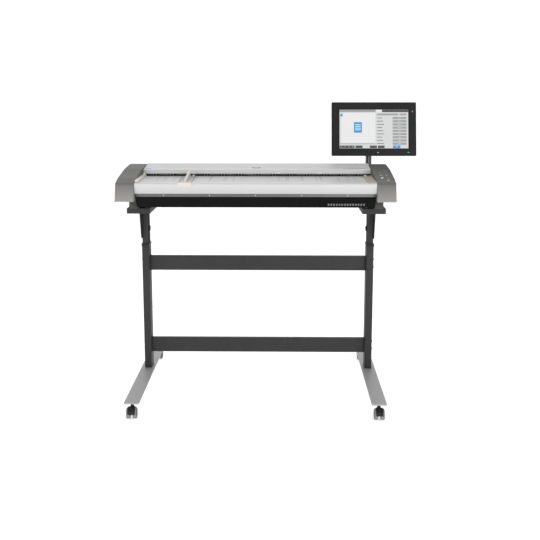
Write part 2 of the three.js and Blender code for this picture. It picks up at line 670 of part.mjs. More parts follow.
function scanner() {
  const group = new THREE.Group();
  add(group, 'base_tray', baseTray(), black);
  add(group, 'front_table', frontTable(), pearl);
  add(group, 'rear_table', rearTable(), pearl);
  add(group, 'trim_rail', trimRail(), greyRail);
  add(group, 'rear_cover', rearCover(), charcoal);
  add(group, 'power_inlet', powerInlet(), black);
  for (const side of SIDES) {
    add(group, `${sideName(side)}_end_cap`, endCap(side), graphite);
    add(group, `${sideName(side)}_lid_hinge_pin`, hingePin(side), steel);
  }
  for (const item of BUTTONS) {
    add(group, item.name, button(item), item.name === 'button_stop' ? redPlastic : whitePlastic);
  }
  add(group, 'front_feed_roller', feedRoller(FEED.frontY), rubber);
  add(group, 'rear_feed_roller', feedRoller(FEED.rearY), rubber);
  add(group, 'motor_pulley', motorPulley(), steel);
  add(group, 'drive_belt', driveBelt(), rubber);
  add(group, 'feed_motor', feedMotor(), charcoal);
  for (let i = 0; i < CAMERA.count; i += 1) {
    const x = (i - (CAMERA.count - 1) / 2) * CAMERA.pitch;
    add(group, `camera_module_${i + 1}`, camera(x), black);
  }
  add(group, 'light_bar', lightBar(), whitePlastic);
  add(group, 'scan_glass', box(-GLASS.half, GLASS.half, GLASS.y0, GLASS.y1, GLASS.z0, GLASS.z1), clear);
  add(group, 'main_board', mainBoard(), boardGreen);
  add(group, 'power_supply', powerSupply(), steel);
  add(group, 'lid_shell', lidShell(), silver);
  add(group, 'lid_pressure_plate', pressurePlate(), whitePlastic);
  add(group, 'front_pinch_rollers', pinchShaft(FEED.frontY), whitePlastic);
  add(group, 'rear_pinch_rollers', pinchShaft(FEED.rearY), whitePlastic);
  add(group, 'left_edge_guide', leftEdgeGuide(), beige);
  add(group, 'right_edge_guide', rightEdgeGuide(), tan);
  add(group, 'document_guide_plate', guidePlate(), clear);
  add(group, 'document_guide_fin', guideFin(), beige);
  return group;
}

// ---------------------------------------------------------------- display
function displayPost() {
  const { x, y, width, depth, bottom, top, spigot } = POST;
  const profile = outline(rectangle(x, y, width, depth, 3));
  const settings = { depth: top - bottom, bevelEnabled: false, curveSegments: 3 };
  const bar = new THREE.ExtrudeGeometry(profile, settings).translate(0, 0, bottom);
  const rear = CAP.rearY + GAP;
  const front = y - depth / 2;
  const grooves = SIDES.map((side) => box(x - 3, x + 3,
    side > 0 ? y + depth / 2 - 3 : front - 1, side > 0 ? y + depth / 2 + 1 : front + 3, 1030, top + 1));
  const arm = box(x - width / 2, x + width / 2, rear, front + 1, bottom, bottom + 24);
  const flange = box(x - 42, x + 42, rear, rear + 5, bottom - 5, bottom + 27);
  return join(cut(bar, ...grooves), arm, flange, rod('z', spigot, top - 1, top + 24, x, y));
}

// Sits on the post's spigot and carries the tilt pin in front.
function displayYoke() {
  const { x, y, top, spigot } = POST;
  const z0 = top + 0.4;
  const pin = tiltPin();
  const hub = cut(box(x - HUB.half, x + HUB.half, y - HUB.reach, y + HUB.reach, z0, z0 + HUB.height),
    rod('z', spigot + 0.4, z0 - 1, top + 25, x, y));
  const inHub = y - HUB.reach + 4;
  const tongueShape = outline([
    [pin.y - KNUCKLE.radius, pin.z - KNUCKLE.radius, 9], [inHub, z0 + 14, 2], [inHub, z0 + HUB.height],
    [pin.y + 6, pin.z + KNUCKLE.radius, 4], [pin.y - KNUCKLE.radius, pin.z + KNUCKLE.radius, 9],
  ]);
  const tongue = prism(tongueShape, SCREEN.x - KNUCKLE.tongue, SCREEN.x + KNUCKLE.tongue);
  const axle = rod('x', KNUCKLE.pin, SCREEN.x - 19, SCREEN.x + 19, pin.y, pin.z);
  return join(hub, tongue, axle);
}

// Where the tilt pin is, from the middle of the tilted display's front face.
function tiltPin() {
  const reach = SCREEN.depth + KNUCKLE.behind;
  const tilt = THREE.MathUtils.degToRad(SCREEN.tilt);
  return { y: SCREEN.y + reach * Math.cos(tilt), z: SCREEN.z - reach * Math.sin(tilt) };
}

// A slab in the display's own frame, with y from its front face backwards.
function slab(width, height, y0, y1, radius, bevel = 0) {
  return new THREE.ExtrudeGeometry(outline(rectangle(0, 0, width, height, radius)), {
    depth: y1 - y0 - 2 * bevel,
    curveSegments: 3,
    bevelEnabled: bevel > 0,
    bevelSize: bevel,
    bevelThickness: bevel,
    bevelOffset: -bevel,
    bevelSegments: 1,
  }).translate(0, 0, bevel).rotateX(Math.PI / 2).translate(0, y1, 0);
}

function displayFrame() {
  const { width, height } = SCREEN;
  return cut(slab(width, height, 0, 12, 4, 1.5), slab(WINDOW.width + 0.8, WINDOW.height + 0.8, -2, 14, 0));
}

// Touch panel in the frame's window, with the display module behind it in the back cover.
function displayPanel() {
  const { width, height, depth } = SCREEN;
  return join(
    slab(WINDOW.width, WINDOW.height, 1, 14, 0),
    slab(width - 76, height - 76, 13, depth - MOULD - GAP, 4));
}

function displayBack() {
  const { width, height, depth } = SCREEN;
  const shell = join(
    slab(width - 2, height - 2, 12 + GAP, 24, 4, 1),
    slab(width - 60, height - 60, 23, depth, 8, 3));
  const hollow = join(
    slab(width - 10, height - 10, 10, 20, 2),
    slab(width - 70, height - 70, 19, depth - MOULD, 5));
  const reach = depth + KNUCKLE.behind;
  const ears = SIDES.map((side) => cut(
    sidePrism(outline([
      [depth - 1, -14], [reach, -KNUCKLE.radius, 5], [reach + KNUCKLE.radius, 0, 9],
      [reach, KNUCKLE.radius, 5], [depth - 1, 14],
    ]), side, KNUCKLE.tongue + 1, KNUCKLE.tongue + 1 + KNUCKLE.ear),
    rod('x', KNUCKLE.pin + 0.4, -30, 30, reach, 0)));
  return join(cut(shell, hollow), ...ears);
}

function display() {
  const group = new THREE.Group();
  add(group, 'display_post', displayPost(), charcoal);
  add(group, 'display_yoke', displayYoke(), charcoal);
  const head = new THREE.Group();
  head.position.set(SCREEN.x, SCREEN.y, SCREEN.z);
  head.rotation.x = THREE.MathUtils.degToRad(-SCREEN.tilt);
  add(head, 'display_frame', displayFrame(), black);
  add(head, 'display_screen', displayPanel(), screenLit);
  add(head, 'display_back_cover', displayBack(), black);
  group.add(head);
  return group;
}

// ---------------------------------------------------------------- assembly
const model = new THREE.Group();
model.add(stand(), scanner(), display());
model.updateMatrixWorld(true);
const extent = new THREE.Box3().setFromObject(model, true);
model.position.set(-(extent.min.x + extent.max.x) / 2, -(extent.min.y + extent.max.y) / 2, -extent.min.z);
model.updateMatrixWorld(true);

export default model;
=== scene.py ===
"""Looks of a wide-format sheet-fed scanner on its stand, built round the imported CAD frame.

Sizes below are in millimetres and in the scanner's own frame, as in the CAD source: x from the middle of
the feed table, y backwards from the table's front edge, z above the floor. place() turns them into the row
frame.
"""

from math import atan2, cos, pi, radians, sin, tan

import bmesh
import bpy
from mathutils import Matrix, Vector


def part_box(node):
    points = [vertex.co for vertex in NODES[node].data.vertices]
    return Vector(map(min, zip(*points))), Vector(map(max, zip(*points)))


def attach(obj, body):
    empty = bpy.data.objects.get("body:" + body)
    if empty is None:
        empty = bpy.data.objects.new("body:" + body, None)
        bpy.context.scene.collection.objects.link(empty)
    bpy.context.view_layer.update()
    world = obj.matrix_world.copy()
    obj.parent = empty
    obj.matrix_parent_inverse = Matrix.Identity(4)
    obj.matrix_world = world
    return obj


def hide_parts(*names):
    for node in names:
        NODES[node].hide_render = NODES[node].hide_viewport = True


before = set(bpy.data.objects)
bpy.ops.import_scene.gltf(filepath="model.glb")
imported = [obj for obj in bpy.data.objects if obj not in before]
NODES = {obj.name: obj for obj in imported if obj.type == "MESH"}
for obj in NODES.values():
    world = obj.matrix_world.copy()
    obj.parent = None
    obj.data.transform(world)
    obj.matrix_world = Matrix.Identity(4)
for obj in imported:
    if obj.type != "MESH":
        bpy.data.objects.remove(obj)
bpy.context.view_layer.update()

MM = 0.001
TABLE_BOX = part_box("front_table")
ORIGIN = Vector(((TABLE_BOX[0].x + TABLE_BOX[1].x) / 2, TABLE_BOX[0].y, 0))
TO_ROW = Matrix.Translation(ORIGIN) @ Matrix.Scale(MM, 4)
SIDES = (-1, 1)
SIDE_NAME = {-1: "left", 1: "right"}

MEDIA_HALF = 545  # from the middle to an end cap's inner face
CAP_HALF = 630  # and to its outer face
TABLE_FRONT_Z = 1058
TABLE_SLOT_Y, TABLE_SLOT_Z = 240, 1064  # the table's rear edge, at the paper slot
TABLE_SLOPE = atan2(TABLE_SLOT_Z - TABLE_FRONT_Z, TABLE_SLOT_Y)
FEED_Y = (252, 354)
FEED_Z, PINCH_Z = 1053.5, 1073
PANEL_Y, PANEL_Z = 48, 1074  # lower edge of the button panel
PANEL_SLOPE = atan2(28, 163)
CAMERA = {"at": (108.2, -3307.8, 1474.8), "pitch": 8.44, "yaw": -0.74, "lens": 49.66, "shift_y": -0.13}


def place(x, y, z):
    """A point of the scanner's frame, in millimetres, as a point of the row frame, in metres."""
    return ORIGIN + Vector((x, y, z)) * MM


def table_z(y):
    return TABLE_FRONT_Z + (TABLE_SLOT_Z - TABLE_FRONT_Z) * y / TABLE_SLOT_Y


def show(name, data):
    """A new object in the scene."""
    obj = bpy.data.objects.new(name, data)
    bpy.context.scene.collection.objects.link(obj)
    return obj


def make_camera():
    data = bpy.data.cameras.new("camera")
    data.lens = CAMERA["lens"]
    data.sensor_width = 36
    data.shift_y = CAMERA["shift_y"]
    data.clip_end = 50
    camera = show("camera", data)
    camera.location = place(*CAMERA["at"])
    camera.rotation_euler = (radians(90 - CAMERA["pitch"]), 0, radians(-CAMERA["yaw"]))
    bpy.context.scene.camera = camera


# -------------------- materials
class Nodes:
    """A material's node tree, with short ways to add and join nodes."""

    def __init__(self, name):
        self.material = bpy.data.materials.new(name)
        self.material.use_nodes = True
        self.tree = self.material.node_tree
        self.shader = self.tree.nodes["Principled BSDF"]
        self.place = self.add("ShaderNodeTexCoord").outputs["Object"]

    def add(self, kind, **values):
        node = self.tree.nodes.new(kind)
        for key, value in values.items():
            if hasattr(node, key):
                setattr(node, key, value)
            else:
                node.inputs[key.replace("_", " ")].default_value = value
        return node

    def link(self, output, target):
        self.tree.links.new(output, target)

    def noise(self, scale, detail=3.0, stretch=None):
        node = self.add("ShaderNodeTexNoise", Scale=scale, Detail=detail, Roughness=0.5)
        if stretch:
            mapping = self.add("ShaderNodeMapping")
            mapping.inputs["Scale"].default_value = stretch
            self.link(self.place, mapping.inputs["Vector"])
            self.link(mapping.outputs["Vector"], node.inputs["Vector"])
        else:
            self.link(self.place, node.inputs["Vector"])
        return node.outputs["Fac"]

    def ramp(self, factor, low, high, start=0.3, end=0.7):
        node = self.add("ShaderNodeValToRGB")
        node.color_ramp.elements[0].position = start
        node.color_ramp.elements[1].position = end
        node.color_ramp.elements[0].color = (*low, 1)
        node.color_ramp.elements[1].color = (*high, 1)
        self.link(factor, node.inputs["Fac"])
        return node.outputs["Color"]

    def spread(self, factor, low, high):
        node = self.add("ShaderNodeMapRange")
        node.inputs["To Min"].default_value = low
        node.inputs["To Max"].default_value = high
        self.link(factor, node.inputs["Value"])
        return node.outputs["Result"]

    def mix(self, a, b, factor, blend="MIX"):
        node = self.add("ShaderNodeMix", data_type="RGBA", blend_type=blend)
        node.inputs["Factor"].default_value = factor
        self.link(a, node.inputs["A"])
        self.link(b, node.inputs["B"])
        return node.outputs["Result"]

    def fade(self, colour, low, high, at_low, at_high):
        """Painted light and shade: the colour multiplied by a factor that changes with height."""
        split = self.add("ShaderNodeSeparateXYZ")
        self.link(self.place, split.inputs["Vector"])
        node = self.add("ShaderNodeMapRange", From_Min=low, From_Max=high, To_Min=at_low, To_Max=at_high)
        self.link(split.outputs["Z"], node.inputs["Value"])
        return self.mix(colour, node.outputs["Result"], 1.0, "MULTIPLY")

    def bump(self, height, distance):
        node = self.add("ShaderNodeBump", Distance=distance, Strength=1.0)
        self.link(height, node.inputs["Height"])
        self.link(node.outputs["Normal"], self.shader.inputs["Normal"])

    def set(self, **values):
        for key, value in values.items():
            self.shader.inputs[key.replace("_", " ")].default_value = value


def shade(colour, factor):
    return tuple(min(1.0, c * factor) for c in colour)


def surface(name, colour, rough, metal, grain, depth, mottle, flake=0.0, coat=0.0, stretch=None, gloss=0.5,
            fade=None):
    """Paint or moulded plastic: slow colour drift, fine grain in bump and roughness, and metallic flake.

    A colour of one number is a grey. fade is (low z, high z, factor at low, factor at high), in metres:
    painted light and shade, which scales the colour's brightness with height.
    """
    colour = colour if isinstance(colour, tuple) else (colour,) * 3
    n = Nodes(name)
    drift = n.ramp(n.noise(6.0, 4.0), shade(colour, 1 - mottle), shade(colour, 1 + mottle))
    if flake:
        fine = n.noise(2600.0, 1.0)
        sparkle = n.ramp(fine, shade(colour, 1 - flake), shade(colour, 1 + flake), 0.35, 0.65)
        drift = n.mix(drift, sparkle, 0.5)
    # painted light and shade by height, multiplied into the colour
    if fade:
        drift = n.fade(drift, *fade)
    n.link(drift, n.shader.inputs["Base Color"])
    n.link(n.spread(n.noise(35.0, 5.0), rough - 0.05, rough + 0.05), n.shader.inputs["Roughness"])
    n.bump(n.noise(grain, 2.0, stretch=stretch), depth * MM)
    n.set(Metallic=metal, Coat_Weight=coat, Coat_Roughness=0.15, Specular_IOR_Level=gloss)
    return n.material


def clear(name, tint, low_rough, high_rough, **values):
    """Glass, or with a low alpha a thin clear sheet that casts only a faint shadow."""
    n = Nodes(name)
    n.link(n.ramp(n.noise(3.0), shade(tint, 0.97), tint), n.shader.inputs["Base Color"])
    n.link(n.spread(n.noise(60.0, 4.0), low_rough, high_rough), n.shader.inputs["Roughness"])
    n.set(IOR=1.49, **values)
    return n.material


def glow(name, colour, strength=1.0, base=(0.02, 0.02, 0.02)):
    """A lit surface, such as a light or part of a screen's picture."""
    n = Nodes(name)
    n.link(n.ramp(n.noise(12.0), shade(colour, 0.97), colour), n.shader.inputs["Emission Color"])
    n.set(Emission_Strength=strength, Roughness=0.3, Specular_IOR_Level=0.3)
    n.link(n.ramp(n.noise(500.0), shade(base, 0.9), base), n.shader.inputs["Base Color"])
    return n.material


def board(name):
    """Solder mask with copper tracks under it."""
    n = Nodes(name)
    brick = n.add("ShaderNodeTexBrick", Scale=90.0, Mortar_Size=0.012)
    n.link(n.place, brick.inputs["Vector"])
    brick.inputs["Color1"].default_value = (0.012, 0.10, 0.045, 1)
    brick.inputs["Color2"].default_value = (0.010, 0.075, 0.035, 1)
    brick.inputs["Mortar"].default_value = (0.03, 0.22, 0.09, 1)
    n.link(brick.outputs["Color"], n.shader.inputs["Base Color"])
    n.bump(brick.outputs["Fac"], 0.03 * MM)
    n.set(Roughness=0.35, Coat_Weight=0.4)
    return n.material


M = {
    # end caps: painted light brightens the lower front faces and painted shade darkens the tops
    "graphite": surface("graphite_paint", (0.196, 0.193, 0.187), 0.48, 0.2, 1500, 0.012, 0.04, 0.25, 0.03,
                        gloss=0.20, fade=(0.976, 1.105, 1.42, 0.40)),
    "silver": surface("silver_paint", 0.59, 0.52, 0.1, 1500, 0.008, 0.02, 0.10, 0.02, gloss=0.25),
    # tables: painted shade darkens the lips towards their bottom edges
    "pearl": surface("light_grey_paint", 0.545, 0.45, 0.05, 1300, 0.010, 0.02, 0.04, 0.1,
                      fade=(1.005, 1.050, 0.80, 1.03)),
    # near-white painted highlight for the rounded creases of the lid and the feed table
    "crease": surface("crease_painted_highlight", 0.95, 0.35, 0.1, 1300, 0.010, 0.02),
    "rail": surface("grey_anodised", 0.115, 0.42, 0.5, 700, 0.02, 0.05, 0.1, 0.0, (1, 8, 8)),
    "black": surface("black_powder_coat", 0.005, 0.7, 0.0, 1100, 0.05, 0.15, gloss=0.05),
    "charcoal": surface("charcoal_powder_coat", (0.0305, 0.0305, 0.031), 0.55, 0.0, 1000, 0.06, 0.06,
                        gloss=0.22),
    "foot": surface("silver_powder_coat", 0.385, 0.5, 0.2, 1100, 0.04, 0.03, 0.12),
    "caster_black": surface("caster_plastic", 0.014, 0.42, 0.0, 800, 0.03, 0.2, gloss=0.25),
    "caster_grey": surface("caster_tread", 0.235, 0.55, 0.0, 900, 0.05, 0.08),
    "beige": surface("beige_plastic", (0.62, 0.59, 0.535), 0.42, 0.0, 1100, 0.03, 0.03, 0.0, 0.1),
    "tan": surface("tan_plastic", (0.42, 0.36, 0.315), 0.45, 0.0, 1100, 0.03, 0.04),
    "block": surface("block_plastic", (0.060, 0.057, 0.050), 0.6, 0.0, 900, 0.05, 0.10, gloss=0.3),
    "white": surface("white_plastic", (0.80, 0.80, 0.79), 0.40, 0.0, 1100, 0.02, 0.02),
    "rubber": surface("roller_rubber", 0.012, 0.75, 0.0, 1600, 0.06, 0.2, gloss=0.2),
    "steel": surface("zinc_plate", (0.62, 0.62, 0.63), 0.28, 1.0, 500, 0.01, 0.06, 0.0, 0.0, (1, 6, 6)),
    "plated": surface("plated_screw", 0.46, 0.4, 0.3, 500, 0.01, 0.05),
    "dark_steel": surface("black_oxide", (0.03, 0.03, 0.032), 0.35, 0.9, 500, 0.01, 0.1),
    "bezel": surface("display_plastic", 0.014, 0.5, 0.0, 1400, 0.03, 0.08, gloss=0.15),
    "post": surface("post_paint", (0.060, 0.060, 0.062), 0.42, 0.3, 900, 0.02, 0.05, 0.1, 0.0, (8, 8, 1)),
    "inlay": surface("post_inlay_grey", (0.30, 0.30, 0.31), 0.45, 0.4, 900, 0.02, 0.05, 0.1, 0.0,
                     (8, 8, 1)),
    "red": surface("red_button", (0.62, 0.07, 0.06), 0.35, 0.0, 900, 0.02, 0.04, 0.0, 0.3),
    "copper": surface("connector_gold", (0.70, 0.50, 0.20), 0.3, 1.0, 600, 0.01, 0.05),
    "mark": surface("scale_mark", (0.16, 0.16, 0.165), 0.5, 0.0, 800, 0.01, 0.05),
    "label": surface("blue_label", (0.02, 0.28, 0.68), 0.35, 0.0, 800, 0.01, 0.04),
    "button_dim": surface("dim_button", 0.20, 0.4, 0.0, 900, 0.02, 0.04, 0.0, 0.2),
    "button_mid": surface("grey_button", 0.42, 0.4, 0.0, 900, 0.02, 0.04, 0.0, 0.2),
    "acrylic": clear("clear_acrylic", (0.90, 0.91, 0.91), 0.08, 0.14, Alpha=0.22),
    "scan_glass": clear("scan_glass_clear", (0.80, 0.90, 0.88), 0.03, 0.06, Transmission_Weight=1.0),
    "lens": clear("lens_glass", (0.55, 0.60, 0.85), 0.03, 0.06, Transmission_Weight=1.0),
    "board": board("circuit_board"),
    "green_led": glow("green_light", (0.08, 0.62, 0.12), 0.9, (0.05, 0.5, 0.1)),
    "cyan_led": glow("cyan_light", (0.13, 0.60, 0.68), 1.0, (0.05, 0.35, 0.4)),
    "lamp": glow("lamp_diffuser", (0.95, 0.97, 1.0), 0.3, (0.8, 0.8, 0.8)),
    "ui_page": glow("screen_page", (0.66, 0.67, 0.67)),
    "ui_panel": glow("screen_panel", (0.80, 0.80, 0.81)),
    "ui_button": glow("screen_button", (0.34, 0.34, 0.35)),
    "ui_dark": glow("screen_dark", (0.055, 0.055, 0.06)),
    "ui_blue": glow("screen_blue", (0.0, 0.30, 0.66)),
    "ui_pale": glow("screen_pale_blue", (0.44, 0.62, 0.72)),
    "ui_white": glow("screen_white", (0.90, 0.90, 0.91)),
}


# -------------------- mesh tools
DRESS_ANGLE = 35


def finish_piece(obj, body, material, replaced=()):
    """Gives a new piece its material, the body it rides on and the CAD nodes that it stands for."""
    obj.data.materials.clear()
    obj.data.materials.append(M[material])
    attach(obj, body)
    if replaced:
        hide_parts(*replaced)


def link(name, bm):
    """A new object from a bmesh whose vertices are in the scanner's frame, in millimetres."""
    bmesh.ops.recalc_face_normals(bm, faces=bm.faces)
    for v in bm.verts:
        v.co = place(*v.co)
    mesh = bpy.data.meshes.new(name)
    bm.to_mesh(mesh)
    bm.free()
    return show(name, mesh)


def tilted(x, y, z, angle):
    """The stance of a piece at a point, turned about x by an angle in radians."""
    return Matrix.Translation((x, y, z)) @ Matrix.Rotation(angle, 4, "X")


def on_table(x, y, lift=0):
    return tilted(x, y, table_z(y) + lift, TABLE_SLOPE)


def facing(at, normal):
    """The stance of a piece that is built along z, at a point and along a normal."""
    spin = Vector((0, 0, 1)).rotation_difference(Vector(normal)).to_matrix().to_4x4()
    return Matrix.Translation(Vector(at)) @ spin


def span(side, a, b):
    """The low and the high x of what lies between a and b from the middle, on one side."""
    return sorted((side * a, side * b))


def rod(radius, low, high):
    """The profile of a plain cylinder."""
    return [(0, low), (radius, low), (radius, high), (0, high)]


def soften(obj):
    obj.data.polygons.foreach_set("use_smooth", [True] * len(obj.data.polygons))


def bevel(obj, width, segments, angle=30, harden=False):
    """Rounds the edges sharper than the angle."""
    step = obj.modifiers.new("edges", "BEVEL")
    step.width = width * MM
    step.segments = segments
    step.limit_method = "ANGLE"
    step.angle_limit = radians(angle)
    step.harden_normals = harden


def smooth(obj, width=0.0, segments=3, angle=30):
    """Smooth shading. Edges sharper than the angle are rounded, or stay sharp where no width is given."""
    soften(obj)
    if width:
        bevel(obj, width, segments, angle, True)
    else:
        obj.data.set_sharp_from_angle(angle=radians(angle))
    return obj


def arc_corner(previous, here, following, reach, steps):
    """Points of the arc that rounds a corner, from reach before it to reach after it."""
    a = (previous - here).normalized()
    b = (following - here).normalized()
    half = a.angle(b) / 2
    radius = reach * tan(half)
    start = here + a * reach
    centre = here + (a + b).normalized() * radius / sin(half)
    sweep = pi - 2 * half
    sign = 1 if a.x * b.y - a.y * b.x < 0 else -1
    spoke = start - centre
    points = []
    for i in range(steps + 1):
        t = sign * sweep * i / steps
        points.append(centre + Vector((
            spoke.x * cos(t) - spoke.y * sin(t),
            spoke.x * sin(t) + spoke.y * cos(t))))
    return points


def outline(corners, steps=8):
    """Closed outline through corners (a, b, reach of the round), with true arcs."""
    points = []
    flat = [Vector(c[:2]) for c in corners]
    for i, corner in enumerate(corners):
        reach = corner[2] if len(corner) > 2 else 0
        if reach:
            following = flat[(i + 1) % len(flat)]
            points += arc_corner(flat[i - 1], flat[i], following, reach, steps)
        else:
            points.append(flat[i])
    return points


def inset(corners, wall):
    """The same corners moved inwards by a wall. They go anticlockwise round a convex outline."""
    moved = []
    for i, corner in enumerate(corners):
        here = Vector(corner[:2])
        before = (here - Vector(corners[i - 1][:2])).normalized()
        after = (Vector(corners[(i + 1) % len(corners)][:2]) - here).normalized()
        inward = Vector((-before.y - after.y, before.x + after.x))
        shift = wall / (1 + before.dot(after))
        reach = corner[2] if len(corner) > 2 else 0
        moved.append((here.x + inward.x * shift, here.y + inward.y * shift, max(reach - wall, 0)))
    return moved


def open_below(corners, wall, bottom):
    """The hollow of a shell: inset by the wall, and its first two corners taken down through the bottom."""
    hollow = inset(corners, wall)
    hollow[:2] = [(corner[0], bottom, 0) for corner in hollow[:2]]
    return hollow


def rect(a, b, width, height, radius):
    w, h = width / 2, height / 2
    return [(a - w, b - h, radius), (a + w, b - h, radius), (a + w, b + h, radius), (a - w, b + h, radius)]


AXES = {
    "x": lambda a, b, t: (t, a, b),
    "y": lambda a, b, t: (a, t, b),
    "z": lambda a, b, t: (a, b, t),
}


def prism_mesh(points, axis, low, high):
    """A bmesh of an outline carried along an axis."""
    bm = bmesh.new()
    to = AXES[axis]
    rings = [[bm.verts.new(to(p[0], p[1], t)) for p in points] for t in (low, high)]
    count = len(points)
    for i in range(count):
        j = (i + 1) % count
        bm.faces.new((rings[0][i], rings[0][j], rings[1][j], rings[1][i]))
    bm.faces.new(rings[0][::-1])
    bm.faces.new(rings[1])
    bmesh.ops.recalc_face_normals(bm, faces=bm.faces)
    return bm


def prism(name, points, axis, low, high):
    return link(name, prism_mesh(points, axis, low, high))


def lathe_mesh(profile, axis, centre, segments):
    """A bmesh of a round piece. The profile is (radius, place along the axis), from axis to axis."""
    bm = bmesh.new()
    to = AXES[axis]
    rings = []
    for radius, t in profile:
        if radius < 1e-6:
            rings.append([bm.verts.new(Vector(to(0, 0, t)) + Vector(centre))])
            continue
        rings.append([
            bm.verts.new(Vector(to(radius * cos(u), radius * sin(u), t)) + Vector(centre))
            for u in (2 * pi * k / segments for k in range(segments))])
    for low, high in zip(rings, rings[1:]):
        for k in range(segments):
            j = (k + 1) % segments
            corners = [low[k % len(low)], low[j % len(low)], high[j % len(high)], high[k % len(high)]]
            unique = list(dict.fromkeys(corners))
            if len(unique) > 2:
                bm.faces.new(unique)
    bmesh.ops.recalc_face_normals(bm, faces=bm.faces)
    return bm


def lathe(name, profile, axis="z", centre=(0, 0, 0), segments=48):
    return link(name, lathe_mesh(profile, axis, centre, segments))


def rounded_ring(radius, low, high, round_by):
    """Profile points of a disc from low to high whose outer edges are rounded."""
    inner = radius - round_by
    turns = [pi / 8 * k for k in range(5)]
    rising = [(inner + round_by * sin(u), low + round_by - round_by * cos(u)) for u in turns]
    return rising + [(inner + round_by * cos(u), high - round_by + round_by * sin(u)) for u in turns]


def turn(obj, matrix):
    """Moves an object's vertices by a matrix that is given in the scanner's frame, in millimetres."""
    obj.data.transform(TO_ROW @ matrix @ TO_ROW.inverted())
    obj.data.update()
    return obj


def even(obj, angle=30):
    """Smooth shading that keeps the flat faces flat."""
    smooth(obj, angle=angle)
    obj.modifiers.new("normals", "WEIGHTED_NORMAL").keep_sharp = True
    return obj


def carve(obj, cutters):
    """Cuts the cutters out of obj for good, and deletes them."""
    for cutter in cutters:
        step = obj.modifiers.new("cut", "BOOLEAN")
        step.operation = "DIFFERENCE"
        step.solver = "EXACT"
        step.object = cutter
    graph = bpy.context.evaluated_depsgraph_get()
    graph.update()
    result = bpy.data.meshes.new_from_object(obj.evaluated_get(graph))
    obj.modifiers.clear()
    obj.data = result
    for cutter in cutters:
        bpy.data.objects.remove(cutter)
    return obj


def dress(node, material, width, segments):
    """A CAD node that keeps its shape: a material, and edges rounded by modifiers."""
    obj = NODES[node]
    obj.data.materials.clear()
    obj.data.materials.append(M[material])
    soften(obj)
    obj.data.normals_split_custom_set([(0, 0, 0)] * len(obj.data.loops))
    obj.modifiers.new("weld", "WELD").merge_threshold = 0.02 * MM
    merge = obj.modifiers.new("merge", "DECIMATE")
    merge.decimate_type = "DISSOLVE"
    merge.angle_limit = radians(1.0)
    bevel(obj, width, segments, DRESS_ANGLE, True)


def screw(name, at, normal, body, radius, height, material="steel"):
    """A pan-head screw standing on a surface at a point, in the scanner's frame.

    Its cross recess comes out as one slot on the display's screws, and isn't cut on the tray's.
    """
    profile = [(0, height), (radius * 0.55, height * 0.97), (radius * 0.85, height * 0.7),
               (radius, height * 0.25), (radius, -0.6), (0, -0.6)]
    stance = facing(at, normal)
    bm = lathe_mesh(profile, "z", (0, 0, 0), 24)
    bm.transform(stance)
    head = link(name, bm)
    bar = outline(rect(0, 0, radius * 1.1, radius * 0.22, 0))
    bars = []
    for k in range(2):
        bm = prism_mesh(bar, "z", height * 0.45, height * 1.5)
        bm.transform(stance @ Matrix.Rotation(k * pi / 2, 4, "Z"))
        bars.append(link("slot", bm))
    finish_piece(smooth(carve(head, bars), angle=40), body, material)


def socket_bolt(name, at, normal, body):
    """A socket-head bolt with a washer."""
    radius = height = 5
    stance = facing(at, normal)
    washer = lathe(name + "_washer", rod(radius * 1.5, -0.3, 1.2), segments=32)
    finish_piece(smooth(turn(washer, stance), 0.3, 2), body, "steel")
    head = lathe(name, rod(radius, 1.1, height), segments=32)
    hexagon = [(radius * 0.5 * cos(pi / 3 * k), radius * 0.5 * sin(pi / 3 * k)) for k in range(6)]
    carve(head, [prism("hex", hexagon, "z", height * 0.4, height + 2)])
    finish_piece(smooth(turn(head, stance), 0.4, 2), body, "dark_steel")


def panels(name, rects, axis, low, high, reach=0.0, matrix=None):
    """Flat rounded plates (a, b, width, height) as one object, carried along an axis from low to high."""
    whole = bmesh.new()
    for a, b, width, height in rects:
        points = outline(rect(a, b, width, height, min(reach, width / 2.1, height / 2.1)), 5)
        part = prism_mesh(points, axis, low, high)
        mesh = bpy.data.meshes.new("part")
        part.to_mesh(mesh)
        part.free()
        whole.from_mesh(mesh)
        bpy.data.meshes.remove(mesh)
    obj = link(name, whole)
    return turn(obj, matrix) if matrix else obj


# -------------------- stand
FOOT_X, FOOT_TOP, FOOT_BASE = 560, 73, 66
FOOT_FRONT, FOOT_REAR, FOOT_WIDTH = -123, 690, 69
COLUMN_X, COLUMN_HALF, COLUMN_Y = 557.7, 17.75, 344
POST_INNER_X = COLUMN_X - 14.95
BARS = {"lower": 152, "upper": 578}
BAR_HEIGHT = 71.5
PAN_TOP = 928.5
WHEEL_RADIUS, WHEEL_HALF, WHEEL_INSIDE = 25, 24, 6.2
HOOD_RADIUS, HOOD_HALF, HOOD_WEB = 29, 16.5, 5.6
TRAIL = 20  # from a caster's stem back to its axle
CASTER_Y = {"front": -100, "rear": 657}
CASTER_YAW = {"front_left": 3, "front_right": -1, "rear_left": -6, "rear_right": 5}


def foot(side):
    name = SIDE_NAME[side]
    middle = (FOOT_FRONT + FOOT_REAR) / 2
    points = outline(rect(side * FOOT_X, middle, FOOT_WIDTH, FOOT_REAR - FOOT_FRONT, 5))
    bar = prism(name + "_foot_bar", points, "z", FOOT_BASE, FOOT_TOP)
    carve(bar, [lathe("hole", rod(5.4, -1, 5.5), "z", (side * FOOT_X, y, FOOT_BASE), 32)
                for y in CASTER_Y.values()])
    finish_piece(smooth(bar, 1.2, 4), "stand_base", "foot", [name + "_foot"])
    for k, y in enumerate((326, 362)):
        at = (side * COLUMN_X, y, FOOT_BASE)
        screw(f"{name}_foot_screw_{k + 1}", at, (0, 0, -1), "stand_base", 7, 3.5)


